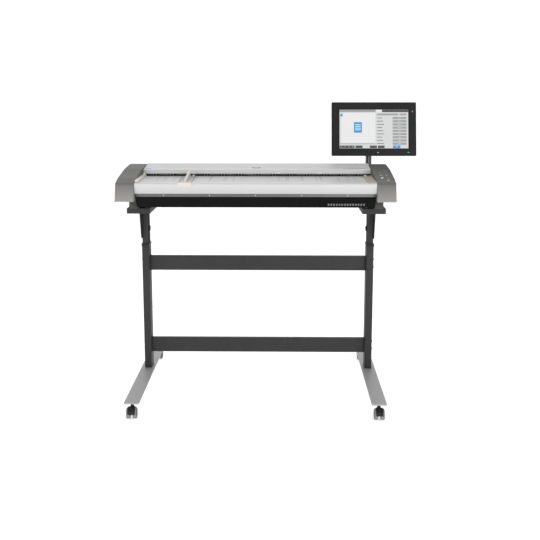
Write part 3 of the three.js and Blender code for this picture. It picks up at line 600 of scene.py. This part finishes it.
def column(side):
    name = SIDE_NAME[side]
    dress(f"{name}_column", "charcoal", 0.8, 3)
    outer = side * (COLUMN_X + COLUMN_HALF + 0.3)
    for bar, z in BARS.items():
        for k, dz in enumerate((16, BAR_HEIGHT - 16)):
            socket_bolt(f"{name}_{bar}_bar_bolt_{k + 1}", (outer, 345, z + dz), (side, 0, 0), "stand_base")
    # collar at the column's top, which steadies the sliding post
    middle = (side * COLUMN_X, COLUMN_Y)
    collar = prism(f"{name}_column_collar", outline(rect(*middle, 39.5, 68, 4)), "z", 703, 716.5)
    bore = prism("bore", outline(rect(*middle, 30.4, 59, 2)), "z", 700, 720)
    seat = prism("seat", outline(rect(*middle, 35.6, 64.1, 3)), "z", 700, 715.2)
    finish_piece(smooth(carve(collar, [bore, seat]), 0.8, 3), "stand_base", "caster_black")


def bracket(side):
    name = SIDE_NAME[side]
    dress(f"{name}_bracket", "charcoal", 0.8, 3)
    dress(f"{name}_mounting_block", "block", 1.5, 4)
    # clamp knob on the inner face of the sliding post
    profile = [(0, 0), (8, 0), (8, 1.2)] + rounded_ring(13, 1.2, 6.8, 1.6) + [(0, 6.8)]
    knob = lathe(f"{name}_post_knob", profile, segments=64)
    turns = [pi / 5 * k for k in range(10)]
    carve(knob, [lathe("groove", rod(2, 1, 9), "z", (14 * cos(u), 14 * sin(u), 0), 16) for u in turns])
    turn(knob, facing((side * POST_INNER_X, COLUMN_Y, 790), (-side, 0, 0)))
    finish_piece(even(knob), "scanner_body", "caster_black")
    # black strip let into the sliding post's inner face: painted shade where that face falls in shadow
    strip = panels(f"{name}_post_painted_shade_strip", [(COLUMN_Y, 733, 50, 336)], "x",
                   *span(side, POST_INNER_X - 0.12, POST_INNER_X + 1))
    finish_piece(smooth(strip, 0.05, 1), "scanner_body", "black")
    for k, y in enumerate((120, 380)):
        socket_bolt(f"{name}_pan_bolt_{k + 1}", (side * 510, y, PAN_TOP + 0.3), (0, 0, 1), "scanner_body")


def caster_hood(body, stance):
    y, z = -TRAIL, WHEEL_RADIUS
    turns = [radians(-5.7 + 182.8 * k / 48) for k in range(49)]
    arc = [(y + HOOD_RADIUS * cos(u), z + HOOD_RADIUS * sin(u)) for u in turns]
    crown = prism(body + "_hood_shell", arc, "x", -HOOD_HALF, HOOD_HALF)
    bevel(crown, 2.2, 4)
    reaches = [span(side, HOOD_WEB, HOOD_HALF + 12) for side in SIDES]
    carve(crown, [lathe("bay", rod(WHEEL_RADIUS + 1, *reach), "x", (0, y, z), 64) for reach in reaches])
    finish_piece(even(turn(crown, stance)), body, "caster_black", [body + "_hood"])
    profile = [(0, 44), (9, 44), (9, 51), (6.4, 57), (6.4, 64.8), (5.6, 65.6), (0, 65.6)]
    boss = turn(lathe(body + "_boss", profile, segments=40), stance)
    finish_piece(smooth(boss, 0.6, 3), body, "caster_black")
    profile = [(0, 64), (4.9, 64), (4.9, 70), (4.0, 70.9), (0, 70.9)]
    stem = turn(lathe(body + "_stem", profile, segments=32), stance)
    finish_piece(smooth(stem, angle=35), body, "steel")


def caster_wheels(name, stance):
    r, half, inside = WHEEL_RADIUS, WHEEL_HALF, WHEEL_INSIDE
    axle_at, body = (0, -TRAIL, r), name + "_wheels"
    # tread with two shallow grooves, then the hub disc with a ring and an axle cap
    tread = [(13, inside + 1.5), (r - 2.8, inside + 0.3), (r - 0.9, inside + 1.1), (r, inside + 3.0)]
    for groove in (inside + 6.5, inside + 12.5):
        tread += [(r, groove - 0.8), (r - 0.9, groove - 0.5), (r - 0.9, groove + 0.5), (r, groove + 0.8)]
    tread += [(r, half - 3.6), (r - 0.6, half - 1.9), (r - 1.9, half - 0.9), (22.3, half - 1.5)]
    tread += [(22.3, inside + 1.5), tread[0]]
    hub = [(0, inside), (22.2, inside), (22.2, half - 1.6), (21.3, half - 1.0), (18.2, half - 0.8),
           (17.5, half - 2.0), (16.5, half - 1.2), (8.5, half - 0.9), (7.5, half - 2), (6, half - 2),
           (5.4, half - 0.2), (0, half)]
    for side in SIDES:
        ring = lathe(f"{name}_tread_{SIDE_NAME[side]}", [(a, side * b) for a, b in tread], "x", axle_at, 72)
        smooth(turn(ring, stance), angle=28)
        finish_piece(ring, body, "caster_grey", [name + "_caster_wheels"] if side < 0 else ())
        disc = lathe(f"{name}_hub_{SIDE_NAME[side]}", [(a, side * b) for a, b in hub], "x", axle_at, 64)
        finish_piece(smooth(turn(disc, stance), angle=28), body, "caster_black")
    axle = lathe(f"{name}_axle", rod(3.9, -inside - 1, inside + 1), "x", axle_at, 24)
    finish_piece(smooth(turn(axle, stance), 0.3, 2), body, "steel")


def stand():
    for bar in BARS:
        dress(f"{bar}_crossbar", "charcoal", 1.2, 4)
    for side in SIDES:
        foot(side)
        column(side)
        bracket(side)
    for end, y in CASTER_Y.items():
        for side in SIDES:
            name = f"{end}_{SIDE_NAME[side]}"
            yaw = Matrix.Rotation(radians(CASTER_YAW[name]), 4, "Z")
            stance = Matrix.Translation((side * FOOT_X, y, 0)) @ yaw
            caster_hood(name + "_caster", stance)
            caster_wheels(name, stance)


# -------------------- end caps and controls
CAP_OUTLINE = [
    (-27, 976, 6), (495, 976, 6), (495, 1040, 20), (482, 1094, 14), (440, 1102, 20),
    (346, 1111.5, 20), (211, 1102, 20), (PANEL_Y, PANEL_Z, 12), (0, TABLE_FRONT_Z, 10),
]
SHELL_WALL = 3
# each button's x and y, and how much longer than wide it is
BUTTONS = {
    "button_scan": (574, 60, 1.4), "button_copy": (574, 102, 1), "button_feed_forward": (574, 145, 1),
    "button_stop": (600, 56, 1), "button_feed_back": (600, 103, 1), "button_power": (600, 173, 1),
}
BUTTON_RADIUS = 4.6
BUTTON_COLOURS = {
    "button_stop": "red", "button_power": "button_dim", "button_feed_forward": "button_dim",
    "button_copy": "button_mid", "button_feed_back": "button_mid",
}


def on_panel(x, y, stretch):
    z = PANEL_Z + (y - PANEL_Y) * tan(PANEL_SLOPE)
    return tilted(x, y, z, PANEL_SLOPE) @ Matrix.Scale(stretch, 4, (1, 0, 0))


def end_cap(side):
    name = SIDE_NAME[side]
    shell = prism(f"{name}_end_cap_shell", outline(CAP_OUTLINE, 12), "x", *span(side, MEDIA_HALF, CAP_HALF))
    bevel(shell, 2, 4, 40)
    hollow = outline(open_below(CAP_OUTLINE, SHELL_WALL, 966), 12)
    window = outline([(20, 966), (470, 966), (470, 1062), (20, 1062)])
    cutters = [prism("hollow", hollow, "x", *span(side, MEDIA_HALF + SHELL_WALL, CAP_HALF - SHELL_WALL)),
               prism("window", window, "x", *span(side, MEDIA_HALF - 5, MEDIA_HALF + 4))]
    # joint line of the side cover: a groove that follows the profile
    rim, inner = (outline(inset(CAP_OUTLINE, wall), 12) for wall in (11, 11.9))
    groove = prism("groove", rim, "x", *span(side, CAP_HALF - 0.8, CAP_HALF + 2))
    core = prism("core", inner, "x", *span(side, CAP_HALF - 3, CAP_HALF + 3))
    cutters.append(carve(groove, [core]))
    screws = [(side * (CAP_HALF - 1.3), y, z) for y, z in ((30, 1000), (455, 1000), (455, 1050))]
    for at in screws:
        cutters.append(turn(lathe("pocket", rod(4.5, 0, 4), segments=32), facing(at, (side, 0, 0))))
    if side > 0:
        for button in BUTTONS.values():
            cutters.append(turn(lathe("hole", rod(BUTTON_RADIUS + 0.4, -8, 5)), on_panel(*button)))
    finish_piece(even(carve(shell, cutters), 32), "scanner_body", "graphite", [f"{name}_end_cap"])
    dress(f"{name}_lid_hinge_pin", "steel", 0.4, 3)
    for k, at in enumerate(screws):
        screw(f"{name}_cap_screw_{k + 1}", at, (side, 0, 0), "scanner_body", 3.6, 1.0, "dark_steel")


def buttons():
    r = BUTTON_RADIUS
    profile = [(0, -5), (r + 1.9, -5), (r + 1.9, -3.4), (r, -3.4), (r, 0.9), (r - 0.25, 1.3),
               (r - 0.7, 1.5), (r * 0.6, 1.32), (r * 0.3, 1.2), (0, 1.16)]
    for name, button in BUTTONS.items():
        cap = turn(lathe(name + "_cap", profile, segments=64), on_panel(*button))
        finish_piece(smooth(cap, angle=40), name, BUTTON_COLOURS.get(name, "white"), [name])
    light = lathe("status_light", [(0, -0.5), (3.2, -0.5), (3.2, 0.1), (2.6, 0.5), (0, 0.7)], segments=40)
    y, slope = 32, atan2(PANEL_Z - TABLE_FRONT_Z, PANEL_Y)
    stance = tilted(600, y, PANEL_Z - (PANEL_Y - y) * tan(slope), slope) @ Matrix.Scale(1.7, 4, (1, 0, 0))
    finish_piece(smooth(turn(light, stance), angle=40), "scanner_body", "green_led")


# -------------------- lid and its rollers
LID_HALF = 543.5
LID_FRONT_Y, LID_FRONT_Z = 232, 1096
LID_RIDGE_Y, LID_RIDGE_Z = 359, 1113
LID_OUTLINE = [(LID_FRONT_Y, 1075, 1.5), (466, 1075, 12), (466, 1101, 12), (LID_RIDGE_Y, LID_RIDGE_Z, 5),
               (LID_FRONT_Y, LID_FRONT_Z, 4)]
LID_PIVOT = (452, 1086)
LID_SLOPE = atan2(LID_RIDGE_Z - LID_FRONT_Z, LID_RIDGE_Y - LID_FRONT_Y)
BADGE_AT = (-4, 266)


def on_lid(x, y):
    return tilted(x, y, LID_FRONT_Z + (y - LID_FRONT_Y) * tan(LID_SLOPE), LID_SLOPE)


def lid():
    shell = prism("lid_cover", outline(LID_OUTLINE, 10), "x", -LID_HALF, LID_HALF)
    bevel(shell, 1, 3)
    hollow = outline(open_below(LID_OUTLINE, SHELL_WALL, 1060.5), 8)
    cutters = [prism("hollow", hollow, "x", SHELL_WALL - LID_HALF, LID_HALF - SHELL_WALL)]
    for side in SIDES:
        reach = span(side, LID_HALF - 8, LID_HALF + 5)
        for (y, z), r in ((LID_PIVOT, 4.4), ((FEED_Y[0], PINCH_Z), 3.4), ((FEED_Y[1], PINCH_Z), 3.4)):
            cutters.append(lathe("bore", rod(r, *reach), "x", (0, y, z), 32))
    finish_piece(even(carve(shell, cutters), 32), "lid", "silver", ["lid_shell"])
    label = panels("lid_colour_strip", [(0, 0, 30, 14)], "z", -0.2, 0.35, 1.5, on_lid(-523, 248))
    finish_piece(smooth(label, 0.1, 2), "lid", "label")
    badge = panels("lid_badge", [(0, 0, 40, 20)], "z", -0.3, 0.7, 5, on_lid(*BADGE_AT))
    finish_piece(smooth(badge, 0.3, 3), "lid", "rail")
    face = panels("lid_badge_face", [(0, 0, 28, 10)], "z", 0.5, 0.85, 4, on_lid(*BADGE_AT))
    finish_piece(smooth(face, 0.1, 2), "lid", "silver")
    ticks = [(x * 13.5, 0, 8.5, 8) for x in range(8)]
    finish_piece(panels("lid_ticks", ticks, "z", -0.2, 0.15, 1, on_lid(418, 254)), "lid", "mark")
    tabs = panels("lid_tabs", [(x, 1078.5, 22, 4.5) for x in (-301, 100, 300)], "y", 229, 233, 1.5)
    finish_piece(smooth(tabs, 0.5, 3), "lid", "white")
    # painted highlight: a near-white strip along the crease between the lid's top and its front
    strip = [(0, 0, 2 * LID_HALF - 2, 4)]
    crease = panels("lid_crease_painted_highlight", strip, "z", -0.2, 0.12, 0.4, on_lid(0, 238.6))
    finish_piece(crease, "lid", "crease")
    dress("lid_pressure_plate", "white", 0.3, 2)


def pinch_rollers(end, y):
    body, axis = end + "_pinch", (0, y, PINCH_Z)
    profile = [(0, -543), (2.6, -543), (3, -542.4), (3, 542.4), (2.6, 543), (0, 543)]
    shaft = lathe(f"{end}_pinch_shaft", profile, "x", axis, 32)
    finish_piece(smooth(shaft, angle=40), body, "dark_steel", [f"{end}_pinch_rollers"])
    for k in range(13):
        middle = (k - 6) * 82
        low, high = middle - 16, middle + 16
        profile = [(3, low), (5.2, low), (5.2, low + 1.2)] + rounded_ring(7.9, low + 1.2, high - 1.2, 0.8)
        profile += [(5.2, high - 1.2), (5.2, high), (3, high), (3, low)]
        roller = lathe(f"{end}_pinch_roller_{k + 1}", profile, "x", axis, 40)
        finish_piece(smooth(roller, angle=32), body, "rubber")
        for j, x in enumerate((middle - 7, middle + 7)):
            band = [(7.2, x - 2.2), (8, x - 1.9), (8, x + 1.9), (7.2, x + 2.2), (7.2, x - 2.2)]
            ring = lathe(f"{end}_pinch_band_{k + 1}_{j + 1}", band, "x", axis, 40)
            finish_piece(smooth(ring, angle=32), body, "pearl")


# -------------------- feed table, tray and covers
RAIL_SCREWS = (-414, -207, 0, 207, 414)
TRAY_SCREWS = (-470, -235, 0, 235, 470)
INCH = 25.4
SHEET_WIDTHS = [210, 297, 420, 594, 841] + [INCH * w for w in (11, 17, 22, 24, 30, 34, 36)]


def folded_table(name, slot_y, slot_z, edge_y, edge_z, lip_z, inward, node):
    t, fold = 2.5, 11
    points = outline([
        (slot_y, slot_z), (edge_y, edge_z, 8), (edge_y, lip_z, 3), (edge_y + inward * fold, lip_z),
        (edge_y + inward * fold, lip_z + t), (edge_y + inward * t, lip_z + t, 0.8),
        (edge_y + inward * t, edge_z - t, 5.5), (slot_y, slot_z - t)], 12)
    table = prism(name, points, "x", 0.3 - MEDIA_HALF, MEDIA_HALF - 0.3)
    finish_piece(smooth(table, 0.35, 2, 40), "scanner_body", "pearl", [node])


def size_lines():
    """Fine lines that show where the edges of standard sheets run, on both sides of the middle."""
    middle, length = 145, 150
    stance = on_table(0, middle)
    rects = [(side * width / 2, 0, 1.5, length) for width in SHEET_WIDTHS for side in SIDES]
    finish_piece(panels("table_size_lines", rects, "z", -0.3, 0.08, 0, stance), "scanner_body", "mark")
    # painted highlight along the table's rounded front edge
    strip = [(0, 9.8 - middle, 2 * MEDIA_HALF - 2, 3)]
    crease = panels("table_crease_painted_highlight", strip, "z", -0.3, 0.06, 0.4, stance)
    finish_piece(crease, "scanner_body", "crease")


def tables():
    folded_table("front_feed_table", TABLE_SLOT_Y, TABLE_SLOT_Z, 0, TABLE_FRONT_Z, 1010, 1, "front_table")
    folded_table("rear_feed_table", 366, 1064, 491, 1060, 1012, -1, "rear_table")
    size_lines()
    dress("trim_rail", "rail", 0.3, 2)
    for k, x in enumerate(RAIL_SCREWS):
        screw(f"rail_screw_{k + 1}", (x, 4, 1002.8), (0, -1, 0), "scanner_body", 2.8, 1.6, "plated")


def tray():
    dress("base_tray", "black", 0.8, 2)
    # light mesh behind each of the tray's vent slots, in its sloping front
    stance = tilted(0, 46.95, 954.5, atan2(939 - 996, 60 - 12))
    slots = [(331.5 + 12.4 * k, 0, 6.7, 14) for k in range(14)]
    finish_piece(panels("tray_vent_mesh", slots, "z", 0.4, 1.4, 0, stance), "scanner_body", "mark")
    for k, x in enumerate(TRAY_SCREWS):
        for j, y in enumerate((110, 400)):
            screw(f"tray_screw_{k + 1}_{j + 1}", (x, y, 939), (0, 0, -1), "scanner_body", 4, 2)


def rear_cover():
    dress("rear_cover", "black", 0.3, 2)
    dress("power_inlet", "bezel", 0.4, 3)
    for k in range(7):
        screw(f"rear_screw_{k + 1}", (-510 + 170 * k, 476, 1003), (0, 1, 0), "scanner_body", 3.6, 2)
    # metal shells of the two ports, with their contact tongues
    for name, x, width, z, height in (("network", -433, 13.2, 982, 13.2), ("usb", -408, 7.4, 981.5, 12.4)):
        shell = panels(f"{name}_port_shell", [(x, z, width, height)], "y", 466, 475.8, 0.8)
        carve(shell, [panels("hole", [(x, z, width - 1.2, height - 1.2)], "y", 467, 480, 0.5)])
        finish_piece(even(shell), "scanner_body", "steel")
        tongue = panels(f"{name}_port_tongue", [(x, z + 2.5, width * 0.5, 2)], "y", 467.5, 474.5, 0.4)
        finish_piece(smooth(tongue, 0.2, 2), "scanner_body", "copper")


# -------------------- paper guides
def guide_knob(name, x, y, z, body, material, radius, height):
    profile = [(0, 0), (radius * 0.55, 0), (radius * 0.55, height * 0.35), (radius, height * 0.5),
               (radius, height * 0.85), (radius * 0.8, height), (0, height * 1.05)]
    finish_piece(smooth(lathe(name, profile, "z", (x, y, z), 40), 0.4, 3, 40), body, material)


def paper_stop(name, x0, x1, front, thickness, reaches, material, node, width):
    rear = 228
    low, high = table_z(front) + 0.4, table_z(rear) + 0.4
    under, back, nose = reaches
    points = outline([(front, low, under), (rear, high, under), (rear, high + thickness, back),
                      (front, low + thickness, nose)], 10)
    finish_piece(smooth(prism(name, points, "x", x0, x1), width, 4), "scanner_body", material, [node])


def edge_guides():
    paper_stop("left_paper_stop", 0.5 - MEDIA_HALF, 16 - MEDIA_HALF, 15, 11.6, (3, 4, 6), "beige",
               "left_edge_guide", 1.2)
    paper_stop("right_paper_stop", MEDIA_HALF - 40, MEDIA_HALF - 0.5, 10, 3, (0, 1, 1), "tan",
               "right_edge_guide", 0.4)
    guide_knob("left_stop_knob", -537, 205, table_z(205) + 11.6, "scanner_body", "white", 4.5, 7)
    guide_knob("right_stop_knob", 513, 196, table_z(196) + 3.2, "scanner_body", "white", 4.5, 7)
    rib = panels("right_stop_rib", [(0, 0, 5, 205)], "z", 1, 6.4, 2, on_table(MEDIA_HALF - 4, 119))
    finish_piece(smooth(rib, 0.8, 3), "scanner_body", "tan")


def document_guide():
    body = "document_guide"
    x0, x1 = -350, -288.5
    middle, width = (x0 + x1) / 2, x1 - x0
    front, rear, thickness, lift = 16, 206, 2.5, 0.4
    stance = on_table(middle, (front + rear) / 2, lift)
    plate = panels("guide_clear_plate", [(0, 0, width, rear - front)], "z", 0, thickness, 4, stance)
    finish_piece(smooth(plate, 0.5, 3), body, "acrylic", ["document_guide_plate"])
    # dark lines along the clear plate's long edges: painted shade where the clear edges look dark
    edges = [(side * (width / 2 - 1.1), 0, 1.2, rear - front - 10) for side in SIDES]
    edge_lines = panels("guide_plate_edge_shade", edges, "z", 0.4, thickness + 0.05, 0, stance)
    finish_piece(edge_lines, body, "mark")
    top = table_z(0) + 3.7
    clip_points = outline([
        (-4, 1043, 1), (-0.6, 1043, 1), (-0.6, table_z(0) + 0.6, 6), (15.7, table_z(16) + 0.5),
        (15.7, top + 1), (-4, top, 4)], 10)
    clip = prism("guide_clip", clip_points, "x", x0, x1)
    finish_piece(smooth(clip, 0.7, 3, 40), body, "beige", ["document_guide_fin"])
    foot_z = table_z(front) + thickness + 0.8
    fin_points = outline([
        (10, foot_z - 1), (front, foot_z), (rear, table_z(rear) + thickness + 0.8), (rear, 1092, 5),
        (rear - 45, 1088, 12), (40, foot_z + 7, 20), (10, foot_z + 1)], 12)
    fin = prism("guide_fin", fin_points, "x", middle - 5, middle + 5)
    finish_piece(smooth(fin, 1.2, 4), body, "beige")
    guide_knob("guide_knob", -299, 188, table_z(188) + lift + thickness, body, "beige", 5.5, 9)
    rects = [(x0 + 9 + 4.5 * k, 1049.5, 1.6, 9) for k in range(11)]
    ribs = panels("guide_clip_ribs", rects, "y", -4.35, -3, 0.7)
    finish_piece(smooth(ribs, 0.2, 2), body, "beige")


# -------------------- paper drive and scan head
SCAN_Y = 303  # the scan line, halfway between the feed rollers
MOTOR_Z = 1005
ROLLER_HALF = 530
ROLLER_BANDS = 26


def toothed(name, radius, teeth, x0, x1, y, z):
    """A timing pulley: a disc with rounded teeth."""
    points = []
    for k in range(teeth):
        for part, r in ((0.0, radius), (0.45, radius), (0.58, radius - 0.9), (0.87, radius - 0.9)):
            u = 2 * pi * (k + part) / teeth
            points.append((y + r * cos(u), z + r * sin(u)))
    return smooth(prism(name, points, "x", x0, x1), 0.15, 2)


def feed_roller(end, y):
    body, axis, half = end + "_roller", (0, y, FEED_Z), ROLLER_HALF
    profile = [(0, -575.7), (3.4, -575.7), (4, -575), (4, 549.3), (3.4, 550), (0, 550)]
    shaft = lathe(f"{end}_feed_shaft", profile, "x", axis, 32)
    finish_piece(smooth(shaft, angle=40), body, "steel", [f"{end}_feed_roller"])
    profile = [(4, -half), (10.2, -half)]
    width = 2 * half / ROLLER_BANDS
    for k in range(ROLLER_BANDS):
        low, high = k * width + 0.7 - half, (k + 1) * width - 0.7 - half
        profile += [(10.4, low), (11, low + 0.5), (11, high - 0.5), (10.4, high)]
    profile += [(10.2, half), (4, half), (4, -half)]
    sleeve = lathe(f"{end}_feed_sleeve", profile, "x", axis)
    finish_piece(smooth(sleeve, angle=32), body, "rubber")
    finish_piece(toothed(f"{end}_feed_pulley", 14, 32, -571, -561, y, FEED_Z), body, "steel")
    for k, x in enumerate((-572, -561)):
        rim = [(4, x), (13.9, x), (13.9, x + 1), (4, x + 1), (4, x)]
        finish_piece(smooth(lathe(f"{end}_pulley_flange_{k + 1}", rim, "x", axis), 0.2, 2), body, "steel")


def drive():
    for end, y in zip(("front", "rear"), FEED_Y):
        feed_roller(end, y)
        pinch_rollers(end, y)
    pulley = toothed("motor_toothed_pulley", 9, 20, -575, -558, SCAN_Y, MOTOR_Z)
    finish_piece(pulley, "motor_shaft", "steel", ["motor_pulley"])
    shaft = lathe("motor_shaft_rod", rod(3, -559, -541.5), "x", (0, SCAN_Y, MOTOR_Z), 24)
    finish_piece(smooth(shaft, 0.3, 2), "motor_shaft", "steel")
    dress("drive_belt", "rubber", 0.3, 2)
    dress("feed_motor", "dark_steel", 0.8, 3)
    for k, (dy, dz) in enumerate(((-22, -22), (22, -22), (22, 22), (-22, 22))):
        screw(f"motor_screw_{k + 1}", (-495, SCAN_Y + dy, MOTOR_Z + dz), (1, 0, 0), "scanner_body", 3, 1.6)


def scan_head():
    dress("scan_glass", "scan_glass", 0.5, 3)
    dress("light_bar", "white", 0.5, 3)
    stance = tilted(0, 279.6, 1051, radians(-22))
    lamp = panels("lamp_diffuser", [(0, 0, 1040, 8)], "z", -0.3, 0.5, 2, stance)
    finish_piece(smooth(lamp, 0.3, 2), "scanner_body", "lamp")
    rim = [(9, 1014), (10.8, 1014), (10.8, 1016.4), (10, 1017), (9.4, 1016.6), (9, 1015.4), (9, 1014)]
    dome = [(0, 1012.5), (9.2, 1012.5), (9.2, 1014)]
    dome += [(9.2 * cos(u), 1014 + 1.8 * sin(u)) for u in (0.3, 0.6, 0.9, 1.2)] + [(0, 1015.8)]
    for k in range(4):
        at = ((k - 1.5) * 260, SCAN_Y, 0)
        dress(f"camera_module_{k + 1}", "black", 0.8, 3)
        ring = lathe(f"lens_ring_{k + 1}", rim, "z", at)
        finish_piece(smooth(ring, angle=35), "scanner_body", "dark_steel")
        lens = lathe(f"lens_{k + 1}", dome, "z", at)
        finish_piece(smooth(lens, angle=40), "scanner_body", "lens")
    dress("main_board", "board", 0.2, 2)
    dress("power_supply", "steel", 0.8, 3)


# -------------------- display
SCREEN_CENTRE = (582, 455, 1277.5)
SCREEN_TILT = -11
SCREEN_SIZE = (425, 271, 38)
WINDOW = (353, 200)
UI_SCALE = 0.978
HEAD = Matrix.Translation(SCREEN_CENTRE) @ Matrix.Rotation(radians(SCREEN_TILT), 4, "X")
ROWS = [43 + 16.5 * k for k in range(9)]
# the picture's layers from the back: plates (left, top, width, height) from the window's upper left corner
UI = {
    "ui_page": [(0, 0, 353, 200)],
    "ui_panel": [(8, 15.5, 176, 156), (190, 0, 27, 14)],
    "ui_pale": [(4, 17, 15, 20)],
    "ui_dark": [(218.5, 0.6, 134, 12.5), (1, 185.5, 76, 13), (82, 185.5, 36, 13), (155, 185.5, 37, 13),
                (197, 185.5, 34, 13)] + [(193, y - 1.5, 26 + 5 * (k % 3), 3) for k, y in enumerate(ROWS)]
    + [(5, 25, 8, 8)],
    "ui_button": [(0, 0, 185, 13), (193, 20, 108, 9.5), (308.5, 20, 35, 9.5), (3, 175, 181, 3)]
    + [(272.5, y - 5.5, 71.5, 12) for y in ROWS],
    "ui_blue": [(274, 185, 38, 14), (74, 65, 41, 54)],
    "ui_white": [(80, 76 + 9 * k, 29, 3.6) for k in range(4)]
    + [(8 + 19 * k, 191, 5, 2) for k in range(4)] + [(289, 190.5, 8, 3)]
    + [(301, y - 0.4, 14, 1.4) for y in ROWS],
}


def display_face():
    width, height, _ = SCREEN_SIZE
    surround = panels("display_front_frame", [(0, 0, width, height)], "y", 0, 12, 5)
    bevel(surround, 1.5, 4, 40)
    carve(surround, [panels("hole", [(0, 0, WINDOW[0] + 0.8, WINDOW[1] + 0.8)], "y", -3, 15, 1)])
    finish_piece(even(turn(surround, HEAD), 32), "display_head", "bezel", ["display_frame"])
    dress("display_screen", "bezel", 0.3, 2)
    for layer, (name, plates) in enumerate(UI.items()):
        rects = [(UI_SCALE * (x + w / 2 - WINDOW[0] / 2), UI_SCALE * (WINDOW[1] / 2 - y - h / 2),
                  UI_SCALE * w, UI_SCALE * h) for x, y, w, h in plates]
        reach = 0.01 if name == "ui_page" else 0.6
        sheet = panels(f"screen_layer_{layer + 1}", rects, "y", 0.92 - 0.07 * layer, 1.2, reach, HEAD)
        finish_piece(sheet, "display_head", name)
    light = panels("display_status_light", [(173, -118, 8, 2.2)], "y", -0.05, 1, 0.6, HEAD)
    finish_piece(light, "display_head", "cyan_led")
    mark = panels("display_marks", [(21, -119, 6.4, 3.8), (193.5, 89, 2, 7.6)], "y", -0.05, 1, 1.0, HEAD)
    finish_piece(mark, "display_head", "silver")


def display_back():
    depth = SCREEN_SIZE[2]
    dress("display_back_cover", "bezel", 0.8, 3)
    dress("display_yoke", "charcoal", 0.8, 3)
    for k, (x, z) in enumerate(((-50, -50), (50, -50), (50, 50), (-50, 50))):
        at = HEAD @ Vector((x, depth, z))
        screw(f"display_screw_{k + 1}", at, HEAD.to_3x3() @ Vector((0, 1, 0)), "display_head", 3.6, 1.8)
    slats = [(-132 + 12 * k, 78, 4, 26) for k in range(23)]
    louvre = panels("display_louvre", slats, "y", depth - 1, depth + 1.1, 1.8, HEAD)
    finish_piece(smooth(louvre, 0.6, 3), "display_head", "bezel")


def post():
    x = 570
    dress("display_post", "post", 0.8, 3)
    strips = [(x, 544.4, 5.4, 2.6), (x, 579.6, 5.4, 2.6)]
    inlay = panels("post_inlay", strips, "z", 1030.4, 1235.6, 0.5)
    finish_piece(smooth(inlay, 0.3, 2), "scanner_body", "inlay")
    for k, dx in enumerate((-34, 34)):
        for j, z in enumerate((989, 1004)):
            screw(f"post_screw_{k + 1}_{j + 1}", (x + dx, 500.3, z), (0, 1, 0), "scanner_body", 3.6, 2)


# -------------------- floor and light
def studio():
    """A pale paper floor that curves up into the backdrop, in metres."""
    start, radius, near, top, half = 6, 6, -30, 20, 40
    turns = [pi / 2 * k / 24 for k in range(25)]
    line = [(near, 0)] + [(start + radius * sin(u), radius - radius * cos(u)) for u in turns]
    line.append((start + radius, top))
    bm = bmesh.new()
    rings = [[bm.verts.new((x, y, z)) for x in (-half, half)] for y, z in line]
    for a, b in zip(rings, rings[1:]):
        bm.faces.new((a[0], a[1], b[1], b[0])).smooth = True
    mesh = bpy.data.meshes.new("studio_floor")
    bm.to_mesh(mesh)
    bm.free()
    n = Nodes("studio_paper")
    n.link(n.ramp(n.noise(2.0), (0.88, 0.88, 0.88), (0.90, 0.90, 0.90)), n.shader.inputs["Base Color"])
    n.set(Roughness=0.9, Emission_Color=(1, 1, 1, 1), Emission_Strength=0.50)
    mesh.materials.append(n.material)
    show("studio_floor", mesh)


def area(name, at, target, size, power):
    data = bpy.data.lights.new(name, "AREA")
    data.shape = "RECTANGLE"
    data.size, data.size_y = size
    data.energy = power
    lamp = show(name, data)
    lamp.location = at
    lamp.rotation_euler = (Vector(target) - Vector(at)).to_track_quat("-Z", "Y").to_euler()


def lights():
    """Even white light from all round, weaker overhead, and a large soft key and fill in front."""
    world = bpy.data.worlds.new("world")
    world.use_nodes = True
    tree = world.node_tree
    background = tree.nodes["Background"]
    background.inputs["Strength"].default_value = 1.0
    coordinates = tree.nodes.new("ShaderNodeTexCoord")
    split = tree.nodes.new("ShaderNodeSeparateXYZ")
    ramp = tree.nodes.new("ShaderNodeValToRGB")
    stops = ramp.color_ramp.elements
    for stop, position, grey in ((stops[0], 0.16, 1), (stops[1], 0.9, 0.30)):
        stop.position, stop.color = position, (grey, grey, grey, 1)
    stops.new(0.26).color = (0.68, 0.68, 0.68, 1)
    tree.links.new(coordinates.outputs["Generated"], split.inputs["Vector"])
    tree.links.new(split.outputs["Z"], ramp.inputs["Fac"])
    tree.links.new(ramp.outputs["Color"], background.inputs["Color"])
    bpy.context.scene.world = world
    area("key", (-2.2, -3.4, 1.9), (0, 0, 0.9), (2.2, 2.2), 39)
    area("fill", (2.2, -3.4, 1.5), (0, 0, 0.9), (2.2, 2.2), 49)
    area("top", (-0.4, 0.6, 3.4), (0, 0, 1.0), (2.4, 1.4), 17)
    bpy.context.scene.view_settings.view_transform = "Standard"


# -------------------- the whole scene
make_camera()
stand()
for cap_side in SIDES:
    end_cap(cap_side)
buttons()
lid()
tables()
tray()
rear_cover()
edge_guides()
document_guide()
drive()
scan_head()
display_face()
display_back()
post()
studio()
lights()
